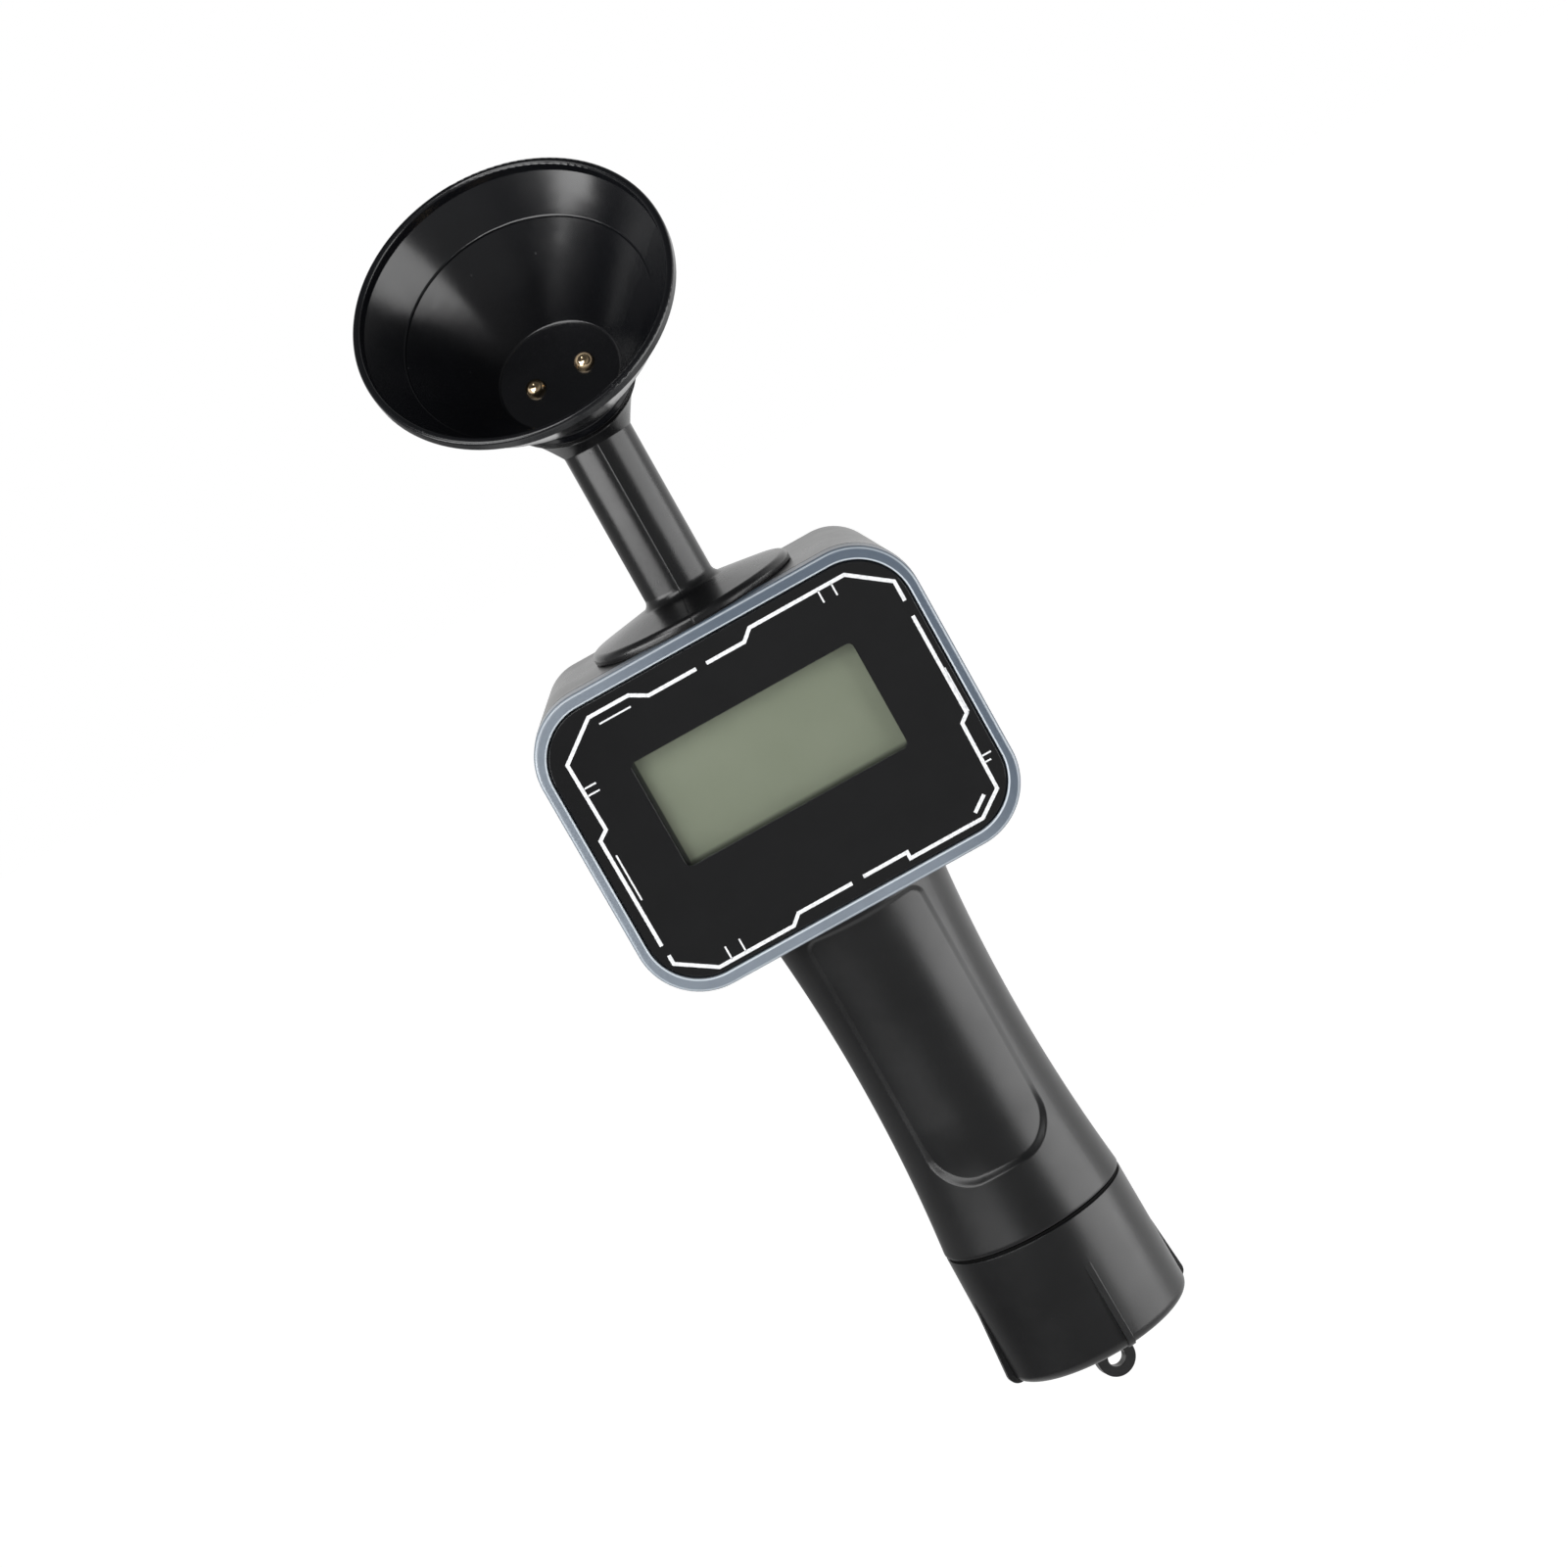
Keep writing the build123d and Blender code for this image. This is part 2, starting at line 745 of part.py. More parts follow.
# Holder round the display, standing on the board
with BuildPart() as lcd_holder:
    with BuildSketch(body_plane(board_front_y)):
        with Locations((0, window_rise)):
            Rectangle(holder_w, holder_h)
            Rectangle(lcd_w - 2 * holder_ledge, lcd_h + 2 * fit_gap, mode=Mode.SUBTRACT)
    extrude(amount=board_front_y - lens_back_y)
    with BuildSketch(body_plane(lens_back_y)):
        with Locations((0, window_rise)):
            Rectangle(lcd_w + 2 * fit_gap, lcd_h + 2 * fit_gap)
    extrude(amount=-lcd_t, mode=Mode.SUBTRACT)
lcd_holder.part.label = "lcd_holder"
export_step(lcd_holder.part, "parts/lcd_holder.step")

# Contact strips between the display and the board
with BuildPart() as lcd_strips:
    with BuildSketch(body_plane(board_front_y)):
        with Locations((0, window_rise)):
            with GridLocations(0, lcd_h - strip_h - 2 * strip_inset, 1, 2):
                Rectangle(strip_w, strip_h)
    extrude(amount=board_front_y - lcd_back_y)
lcd_strips.part.label = "lcd_strips"
export_step(lcd_strips.part, "parts/lcd_strips.step")

# Main board
with BuildPart() as main_board:
    with BuildSketch(body_plane(board_back_y)):
        RectangleRounded(board_w, board_h, board_corner)
        with GridLocations(post_span_w, post_span_h, 2, 2):
            Circle(screw_r + screw_gap, mode=Mode.SUBTRACT)
    extrude(amount=board_t)
main_board.part.label = "main_board"
export_step(main_board.part, "parts/main_board.step")

# Chips, capacitors and buzzer on the back of the board
with BuildPart() as board_chips:
    for size, place in zip(chip_sizes, chip_place_shares):
        with BuildSketch(back_plane(board_back_y)):
            with Locations((place[0] * board_w, place[1] * board_h)):
                Rectangle(size[0], size[1])
        extrude(amount=size[2])
board_chips.part.label = "board_chips"
export_step(board_chips.part, "parts/board_chips.step")

with BuildPart() as board_capacitors:
    with BuildSketch(back_plane(board_back_y)):
        for place in capacitor_place_shares:
            with Locations((place[0] * board_w, place[1] * board_h)):
                Circle(capacitor_r)
    extrude(amount=capacitor_h)
board_capacitors.part.label = "board_capacitors"
export_step(board_capacitors.part, "parts/board_capacitors.step")

with BuildPart() as buzzer:
    with BuildSketch(back_plane(board_back_y)):
        with Locations((buzzer_place_share * board_w, 0)):
            Circle(buzzer_r)
    extrude(amount=buzzer_t)
    with BuildSketch(back_plane(board_back_y + buzzer_t)):
        with Locations((buzzer_place_share * board_w, 0)):
            Circle(buzzer_hole_r)
    extrude(amount=-buzzer_hole_depth, mode=Mode.SUBTRACT)
buzzer.part.label = "buzzer"
export_step(buzzer.part, "parts/buzzer.step")

# Connectors for the probe leads (top) and the battery leads (bottom)
header_rise = board_h / 2 - header_edge - header_h / 2
with BuildPart() as probe_connector:
    with BuildSketch(body_plane(header_back_y)):
        with Locations((0, header_rise)):
            Rectangle(header_w, header_h)
    extrude(amount=header_t)
probe_connector.part.label = "probe_connector"
export_step(probe_connector.part, "parts/probe_connector.step")

with BuildPart() as battery_connector:
    with BuildSketch(body_plane(header_back_y)):
        with Locations((0, -header_rise)):
            Rectangle(header_w, header_h)
    extrude(amount=header_t)
battery_connector.part.label = "battery_connector"
export_step(battery_connector.part, "parts/battery_connector.step")

# Leads from the ring terminals down the neck to the board
tongue_face = nut_face
tongue_x = (electrode_pitch / 2 - terminal_reach) + tongue_hold
probe_z = body_mid_z + header_rise
with BuildPart() as probe_leads:
    for side in (-1, 1):
        start = cup_point(side * tongue_x, tongue_face)
        turn = cup_point(side * tongue_x, tongue_face - neck_lead_drop)
        add(
            lead(
                [
                    start,
                    turn,
                    Vector(side * lead_pair / 2, 0, horn_z - neck_lead_join),
                    Vector(side * lead_pair / 2, 0, probe_z),
                    Vector(side * lead_pair / 2, header_back_y, probe_z),
                ],
                [lead_bend_r, lead_bend_r, lead_bend_r],
            )
        )
probe_leads.part.label = "probe_leads"
export_step(probe_leads.part, "parts/probe_leads.step")

# Screws that close the housing from the rear
screw_seat_y = back_y - head_depth
with BuildPart() as housing_screws:
    with BuildSketch(back_plane(screw_seat_y)):
        with GridLocations(post_span_w, post_span_h, 2, 2):
            Circle(screw_head_r)
    extrude(amount=screw_head_t)
    head_faces = housing_screws.faces().group_by(Axis.Y)[-1]
    fillet(head_faces.edges(), screw_head_t / 3)
    with BuildSketch(back_plane(screw_seat_y)):
        with GridLocations(post_span_w, post_span_h, 2, 2):
            Circle(screw_r)
    extrude(amount=-(screw_seat_y - board_front_y + screw_bite))
    with BuildSketch(back_plane(screw_seat_y + screw_head_t)):
        with GridLocations(post_span_w, post_span_h, 2, 2):
            RegularPolygon(drive_r, 6)
    extrude(amount=-drive_depth, mode=Mode.SUBTRACT)
housing_screws.part.label = "housing_screws"
export_step(housing_screws.part, "parts/housing_screws.step")

# Push button in the rear dimple
button_back_y = back_y - button_sunk
stem_end_y = inner_back_y - button_flange_t - button_stem_len
with BuildPart() as power_button:
    with BuildSketch(back_plane(inner_back_y - button_flange_t)):
        Circle(button_r)
    extrude(amount=button_back_y - inner_back_y + button_flange_t)
    fillet(power_button.faces().sort_by(Axis.Y)[-1].edges(), button_round)
    with BuildSketch(back_plane(inner_back_y)):
        Circle(button_flange_r)
    extrude(amount=-button_flange_t)
    with BuildSketch(back_plane(inner_back_y - button_flange_t)):
        Circle(button_stem_r)
    extrude(amount=-button_stem_len)
power_button.part.label = "power_button"
export_step(power_button.part, "parts/power_button.step")

# Switch behind the button, on its own small board
plunger_y = stem_end_y - button_travel - button_spare
switch_back_y = plunger_y - plunger_len
switch_board_y = switch_back_y - switch_t
with BuildPart() as button_switch:
    with BuildSketch(back_plane(switch_board_y)):
        Rectangle(switch_side, switch_side)
    extrude(amount=switch_t)
    with BuildSketch(back_plane(switch_back_y)):
        Circle(plunger_r)
    extrude(amount=plunger_len)
button_switch.part.label = "button_switch"
export_step(button_switch.part, "parts/button_switch.step")

with BuildPart() as switch_board:
    with BuildSketch(back_plane(switch_board_y)):
        RectangleRounded(switch_board_w, switch_board_h, switch_post_r)
        with GridLocations(switch_post_span, 0, 2, 1):
            Circle(small_r + screw_gap, mode=Mode.SUBTRACT)
    extrude(amount=-switch_board_t)
switch_board.part.label = "switch_board"
export_step(switch_board.part, "parts/switch_board.step")

switch_screw = pan_head_screw(
    body_plane(switch_board_y - switch_board_t),
    small_r,
    switch_board_t + small_bite - head_gap,
    small_head_r,
    small_head_t,
)
with BuildPart() as switch_screws:
    with Locations((-switch_post_span / 2, 0, 0), (switch_post_span / 2, 0, 0)):
        add(switch_screw)
switch_screws.part.label = "switch_screws"
export_step(switch_screws.part, "parts/switch_screws.step")

# Leads from the switch board to the main board
switch_lead_y = switch_board_y - switch_board_t
with BuildPart() as switch_leads:
    for side in (-1, 1):
        across = side * switch_lead_pair / 2
        high_z = body_mid_z - switch_board_h / 4
        low_z = high_z - switch_lead_sag
        add(
            lead(
                [
                    Vector(across, switch_lead_y, high_z),
                    Vector(across, switch_lead_y - switch_lead_run, high_z),
                    Vector(across, board_back_y + switch_lead_run, low_z),
                    Vector(across, board_back_y, low_z),
                ],
                [switch_lead_bend_r, switch_lead_bend_r],
            )
        )
switch_leads.part.label = "switch_leads"
export_step(switch_leads.part, "parts/switch_leads.step")

# Sunk panel on the grip's front, as a cutter that follows the grip's waist.
# Its walls lean outwards, so its outline is drawn behind the panel's floor.
panel_lean = tan(radians(panel_draft))
panel_low_z = grip_base_z + panel_rise
panel_high_z = body_base_z - panel_drop
panel_side_y = sqrt(waist_r**2 - (panel_w / 2) ** 2)
panel_base_y = sqrt((waist_r - panel_depth) ** 2 - (panel_w / 2) ** 2) - overrun
panel_base_w = panel_w - 2 * panel_lean * (panel_side_y - panel_base_y)
panel_base_low = panel_low_z + panel_lean * (grip_radius(panel_low_z) - panel_base_y)
panel_base_high = panel_high_z - panel_lean * (grip_radius(panel_high_z) - panel_base_y)
panel_plane = Plane(
    origin=(0, -panel_base_y, (panel_base_low + panel_base_high) / 2),
    x_dir=(1, 0, 0),
    z_dir=(0, -1, 0),
)
with BuildPart() as panel_cutter:
    with BuildSketch(panel_plane) as panel_outline:
        Rectangle(panel_base_w, panel_base_high - panel_base_low)
        fillet(panel_outline.vertices().group_by(Axis.Y)[0], panel_low_round)
        fillet(panel_outline.vertices().group_by(Axis.Y)[-1], panel_high_round)
    extrude(amount=cap_base_r + overrun - panel_base_y, taper=-panel_draft)
    with BuildSketch(Plane.XZ):
        with BuildLine():
            ThreePointArc(
                (grip_radius(grip_base_z) - panel_depth, grip_base_z),
                (waist_r - panel_depth, waist_z),
                (grip_radius(body_base_z) - panel_depth, body_base_z),
            )
            Polyline(
                (grip_radius(body_base_z) - panel_depth, body_base_z),
                (0, body_base_z),
                (0, grip_base_z),
                (grip_radius(grip_base_z) - panel_depth, grip_base_z),
            )
        make_face()
    revolve(axis=Axis.Z, mode=Mode.SUBTRACT)
    floor_edges = [
        edge
        for edge in panel_cutter.edges()
        if abs(hypot(edge.center().X, edge.center().Y) - grip_radius(edge.center().Z) + panel_depth)
        < fit_gap
    ]
    fillet(floor_edges, panel_step_round)

# Grip: waisted tube with a nose for the cap and a spigot into the housing
with BuildPart() as grip:
    with BuildSketch(Plane.XZ):
        with BuildLine():
            ThreePointArc(
                (grip_radius(grip_base_z), grip_base_z),
                (waist_r, waist_z),
                (grip_radius(body_base_z), body_base_z),
            )
            Polyline(
                (grip_radius(body_base_z), body_base_z),
                (spigot_r, body_base_z),
                (spigot_r, spigot_top_z),
                (grip_head_r, spigot_top_z),
                (grip_head_r, head_z),
                (grip_core_r, head_z - overrun),
                (grip_core_r, core_z),
                (snap_bore_r, core_z),
                (snap_bore_r, battery_top_z),
                (battery_bore_r, battery_top_z),
                (battery_bore_r, nose_z),
                (nose_r, nose_z),
                (nose_r, grip_base_z),
                (grip_radius(grip_base_z), grip_base_z),
            )
        make_face()
    revolve(axis=Axis.Z)
    add(panel_cutter.part, mode=Mode.SUBTRACT)
    step_edges = [
        edge
        for edge in grip.edges()
        if edge.center().Y < -panel_depth
        and abs(hypot(edge.center().X, edge.center().Y) - grip_radius(edge.center().Z)) < fit_gap
        and panel_low_z - fit_gap < edge.center().Z < panel_high_z + fit_gap
    ]
    fillet(step_edges, panel_step_round)
    with BuildSketch(Plane.XY.offset(body_base_z)):
        with PolarLocations(grip_screw_ring, grip_screw_count, start_angle=45):
            Circle(small_r + screw_gap)
    extrude(amount=-grip_screw_bite, mode=Mode.SUBTRACT)
grip.part.label = "grip"
export_step(grip.part, "parts/grip.step")

# Screws from inside the housing down into the grip
grip_screw = pan_head_screw(
    Plane.XY.offset(shell_head_z),
    small_r,
    body_wall + grip_screw_bite - head_gap,
    small_head_r,
    small_head_t,
)
with BuildPart() as grip_screws:
    with PolarLocations(grip_screw_ring, grip_screw_count, start_angle=45):
        add(grip_screw)
grip_screws.part.label = "grip_screws"
export_step(grip_screws.part, "parts/grip_screws.step")

# Battery with its two terminals
with BuildPart() as battery:
    with BuildSketch(Plane.XY.offset(battery_z)):
        RectangleRounded(battery_w, battery_d, battery_corner)
    extrude(amount=battery_h)
    with BuildSketch(Plane.XY.offset(battery_top_z)):
        with Locations((-terminal_pitch / 2, 0)):
            Circle(stud_r)
        with Locations((terminal_pitch / 2, 0)):
            RegularPolygon(socket_r, 6)
    extrude(amount=terminal_h)
battery.part.label = "battery"
export_step(battery.part, "parts/battery.step")

# Snap connector on the terminals
with BuildPart() as battery_snap:
    with BuildSketch(Plane.XY.offset(snap_z)):
        SlotOverall(snap_w, snap_d)
    extrude(amount=snap_t)
    fillet(battery_snap.faces().sort_by(Axis.Z)[-1].edges(), lead_r)
    with BuildSketch(Plane.XY.offset(snap_z)):
        with Locations((-terminal_pitch / 2, 0)):
            Circle(stud_r + fit_gap)
        with Locations((terminal_pitch / 2, 0)):
            RegularPolygon(socket_r + fit_gap, 6)
    extrude(amount=terminal_h - snap_gap, mode=Mode.SUBTRACT)
battery_snap.part.label = "battery_snap"
export_step(battery_snap.part, "parts/battery_snap.step")

# Leads from the snap connector up the grip to the board
battery_lead_z = body_mid_z - header_rise
with BuildPart() as battery_leads:
    for side in (-1, 1):
        add(
            lead(
                [
                    Vector(side * snap_lead_pair / 2, 0, snap_top_z),
                    Vector(side * snap_lead_pair / 2, 0, snap_top_z + snap_lead_rise),
                    Vector(side * lead_pair / 2, 0, snap_top_z + snap_lead_join),
                    Vector(side * lead_pair / 2, 0, battery_lead_z),
                    Vector(side * lead_pair / 2, header_back_y, battery_lead_z),
                ],
                [lead_bend_r, lead_bend_r, lead_bend_r],
            )
        )
battery_leads.part.label = "battery_leads"
export_step(battery_leads.part, "parts/battery_leads.step")

# Seal ring in the seam between grip and cap
with BuildPart() as cap_seal:
    with BuildSketch(Plane.XY.offset(cap_top_z)):
        Circle(grip_radius(grip_base_z) - seam_inset)
        Circle(nose_r + nose_clearance, mode=Mode.SUBTRACT)
    extrude(amount=seam_gap)
cap_seal.part.label = "cap_seal"
export_step(cap_seal.part, "parts/cap_seal.step")

# Battery cap with four tapered grip ribs and the lanyard lug
lug_plane = Plane.XZ.rotated((0, 0, cap_turn))
with BuildPart() as battery_cap:
    with BuildSketch(Plane.XZ) as cap_profile:
        with BuildLine():
            Polyline(
                (0, cap_base_z),
                (cap_base_r, cap_base_z),
                (cap_top_r, cap_top_z),
                (nose_r + nose_clearance, cap_top_z),
                (nose_r + nose_clearance, nose_z - nose_end_gap),
                (cap_bore_r, nose_z - nose_end_gap),
                (cap_bore_r, cap_floor_z),
                (0, cap_floor_z),
                close=True,
            )
        make_face()
        fillet(cap_profile.vertices().sort_by(Axis.X)[-1], cap_edge_round)
    revolve(axis=Axis.Z)
    for turn_step in range(rib_count):
        rib_plane = Plane.XZ.rotated((0, 0, cap_turn - 90 + turn_step * 360 / rib_count))
        with BuildSketch(rib_plane) as rib_outline:
            with BuildLine():
                Polyline(
                    (cap_top_r - cap_edge_round, cap_base_z),
                    (cap_base_r + rib_reach, cap_base_z),
                    (cap_base_r - rib_embed, cap_base_z + rib_rise),
                    (cap_top_r - cap_edge_round, cap_base_z + rib_rise),
                    close=True,
                )
            make_face()
            rib_toe = rib_outline.vertices().group_by(Axis.Y)[0].sort_by(Axis.X)[-1]
            fillet(rib_toe, cap_edge_round)
        extrude(amount=rib_w / 2, both=True)
    with BuildSketch(lug_plane):
        Circle(lug_r)
        with Locations((0, (cap_base_z + lug_root) / 2)):
            Rectangle(2 * lug_r, cap_base_z + lug_root)
        Circle(eye_r, mode=Mode.SUBTRACT)
    extrude(amount=lug_t / 2, both=True)
battery_cap.part.label = "battery_cap"
export_step(battery_cap.part, "parts/battery_cap.step")

# Foam pad that the battery stands on
with BuildPart() as cap_pad:
    with BuildSketch(Plane.XY.offset(cap_floor_z)):
        Circle(pad_r)
    extrude(amount=pad_t)
cap_pad.part.label = "cap_pad"
export_step(cap_pad.part, "parts/cap_pad.step")
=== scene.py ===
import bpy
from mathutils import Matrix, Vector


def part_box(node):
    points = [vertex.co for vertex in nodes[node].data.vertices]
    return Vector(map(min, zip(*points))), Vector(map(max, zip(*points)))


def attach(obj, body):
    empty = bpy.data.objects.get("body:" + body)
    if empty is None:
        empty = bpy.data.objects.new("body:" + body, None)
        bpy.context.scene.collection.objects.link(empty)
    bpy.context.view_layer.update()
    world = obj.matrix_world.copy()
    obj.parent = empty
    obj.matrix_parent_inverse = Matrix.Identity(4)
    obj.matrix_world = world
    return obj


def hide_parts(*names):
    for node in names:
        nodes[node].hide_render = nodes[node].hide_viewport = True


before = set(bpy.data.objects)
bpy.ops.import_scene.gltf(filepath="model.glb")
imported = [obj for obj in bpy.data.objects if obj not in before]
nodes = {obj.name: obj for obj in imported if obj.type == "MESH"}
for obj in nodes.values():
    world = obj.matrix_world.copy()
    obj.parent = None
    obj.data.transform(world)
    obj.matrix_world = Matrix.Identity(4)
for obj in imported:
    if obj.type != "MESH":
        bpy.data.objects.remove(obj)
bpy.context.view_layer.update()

from math import cos, hypot, pi, radians, sin, sqrt

import bmesh
import bpy
from mathutils import Matrix, Vector

MM = 0.001

# Places from the CAD source, in millimetres. The bezel's outlines are given as half
# their width, half their height and their corner radius.
BODY_MID_Z = 146.95
PLATE_FRONT_Y = -23.1
WINDOW = (-25.15, 25.15, 138.5, 162.5)
BEZEL_OUTER = (42.65, 33.35, 14.0)
BEZEL_INNER = (40.4, 30.65, 11.9)
SEAM_Z = 233.6
TILT = radians(48.0)
CREASE_H, FLOOR_H = 20.4, 2.15
GRIP_LOW, GRIP_HIGH, WAIST_Z, WAIST_R, GRIP_BOW = 36.7, 113.6, 78.5, 18.05, 354.9
THREAD_PITCH, NOSE_TOP, MOUTH_R, MOUTH_LOW = 2.0, 36.5, 18.6, 22.0
COPPER_BAND_Z = 42.5

# The grip's sunk panel as the photo shows it, in millimetres: its outline, how deep
# it is at its lower end and along the rest, and how wide and how round its step is
PANEL_HALF_W, PANEL_LOW, PANEL_HIGH = 13.5, 51.2, 112.2
PANEL_LOW_ROUND, PANEL_HIGH_ROUND = 8.4, 2.9
PANEL_LOW_DEPTH, PANEL_HIGH_DEPTH = 1.1, 0.35
PANEL_DEEPER_FROM, PANEL_DEEPER_OVER = 66, 14
PANEL_SIDE_STEP, PANEL_LOW_STEP, PANEL_EDGE, PANEL_CURVE = 0.8, 1.2, 0.12, 1.2
PANEL_SEARCH_ANGLE = 60

# The printed frame, in millimetres: line widths, ink, and its shift from the middle
MAIN_W, THIN_W, INK_T = 0.77, 0.35, 0.02
PRINT_RIGHT, PRINT_DOWN = 0.4, 0.25


# ---------------------------------------------------------------- camera
def make_camera():
    """The photograph's view: a long lens, 9.3 degrees above, rolled 29.5 degrees."""
    elevation, azimuth, roll = radians(9.3), radians(2.5), radians(29.5)
    focal_px, frame_px, sensor_mm = 4430.0, 1601.0, 36.0
    distance, aim_height, aim_left = 0.886, 0.1402, 0.0013
    back = Vector(
        (sin(azimuth) * cos(elevation), -cos(azimuth) * cos(elevation), sin(elevation))
    )
    right = Vector((cos(azimuth), sin(azimuth), 0))
    up = back.cross(right)
    target = Vector((0, 0, aim_height)) - right * aim_left
    place = target + back * distance
    rolled_right = right * cos(roll) - up * sin(roll)
    rolled_up = right * sin(roll) + up * cos(roll)
    data = bpy.data.cameras.new("camera")
    data.sensor_width = sensor_mm
    data.lens = focal_px / frame_px * sensor_mm
    data.clip_start, data.clip_end = 0.05, 20.0
    camera = bpy.data.objects.new("camera", data)
    turn = Matrix((rolled_right, rolled_up, back)).transposed().to_4x4()
    camera.matrix_world = Matrix.Translation(place) @ turn
    bpy.context.scene.collection.objects.link(camera)
    bpy.context.scene.camera = camera


make_camera()


# ---------------------------------------------------------------- shader helpers
class Tree:
    """Short calls for building the node tree of one material or of the world."""

    def __init__(self, owner):
        owner.use_nodes = True
        self.tree = owner.node_tree
        self.tree.nodes.clear()

    def node(self, kind, **settings):
        made = self.tree.nodes.new("ShaderNode" + kind)
        for key, value in settings.items():
            setattr(made, key, value)
        return made

    def put(self, value, socket):
        """Links a node or socket to the socket, or sets it to a plain value."""
        if isinstance(value, bpy.types.Node):
            value = value.outputs[0]
        if isinstance(value, bpy.types.NodeSocket):
            self.tree.links.new(value, socket)
        else:
            socket.default_value = value

    def math(self, operation, a, b=None):
        made = self.node("Math", operation=operation)
        for value, socket in zip((a, b), made.inputs):
            if value is not None:
                self.put(value, socket)
        return made

    def hypot(self, a, b):
        squares = self.math(
            "ADD", self.math("MULTIPLY", a, a), self.math("MULTIPLY", b, b)
        )
        return self.math("SQRT", squares)

    def noise(self, place, scale, detail=2.0, roughness=0.5):
        made = self.node("TexNoise")
        self.put(place, made.inputs["Vector"])
        made.inputs["Scale"].default_value = scale
        made.inputs["Detail"].default_value = detail
        made.inputs["Roughness"].default_value = roughness
        return made.outputs["Fac"]

    def spread(self, value, low, high, to_low=0.0, to_high=1.0, smooth=False):
        """Maps low...high to to_low...to_high and holds the value beyond them."""
        made = self.node(
            "MapRange", interpolation_type="SMOOTHSTEP" if smooth else "LINEAR"
        )
        self.put(value, made.inputs["Value"])
        made.inputs["From Min"].default_value = low
        made.inputs["From Max"].default_value = high
        made.inputs["To Min"].default_value = to_low
        made.inputs["To Max"].default_value = to_high
        return made.outputs["Result"]

    def blend(self, share, a, b):
        """Colour a where share is 0, colour b where it is 1."""
        made = self.node("Mix", data_type="RGBA")
        self.put(share, made.inputs["Factor"])
        self.put(a, made.inputs["A"])
        self.put(b, made.inputs["B"])
        return made.outputs["Result"]

    def bump(self, height, distance, strength=1.0, normal=None):
        made = self.node("Bump")
        self.put(height, made.inputs["Height"])
        made.inputs["Distance"].default_value = distance
        made.inputs["Strength"].default_value = strength
        if normal is not None:
            self.put(normal, made.inputs["Normal"])
        return made.outputs["Normal"]

    def place(self):
        return self.node("TexCoord").outputs["Object"]

    def parts(self, vector):
        made = self.node("SeparateXYZ")
        self.put(vector, made.inputs["Vector"])
        return made.outputs

    def finish(self, shader, output="OutputMaterial"):
        out = self.node(output)
        self.tree.links.new(shader.outputs[0], out.inputs["Surface"])


def rgb(value):
    return (*value, 1.0)


def edge_mask(t, radius):
    """1 on edges sharper than the radius, 0 on flats, with the rounded normal."""
    bevel = t.node("Bevel", samples=4)
    bevel.inputs["Radius"].default_value = radius
    flat = t.node("NewGeometry").outputs["Normal"]
    dot = t.node("VectorMath", operation="DOT_PRODUCT")
    t.put(bevel, dot.inputs[0])
    t.put(flat, dot.inputs[1])
    no_edge, full_edge = 0.995, 0.86
    worn = t.spread(dot.outputs["Value"], no_edge, full_edge)
    return worn, bevel.outputs["Normal"]


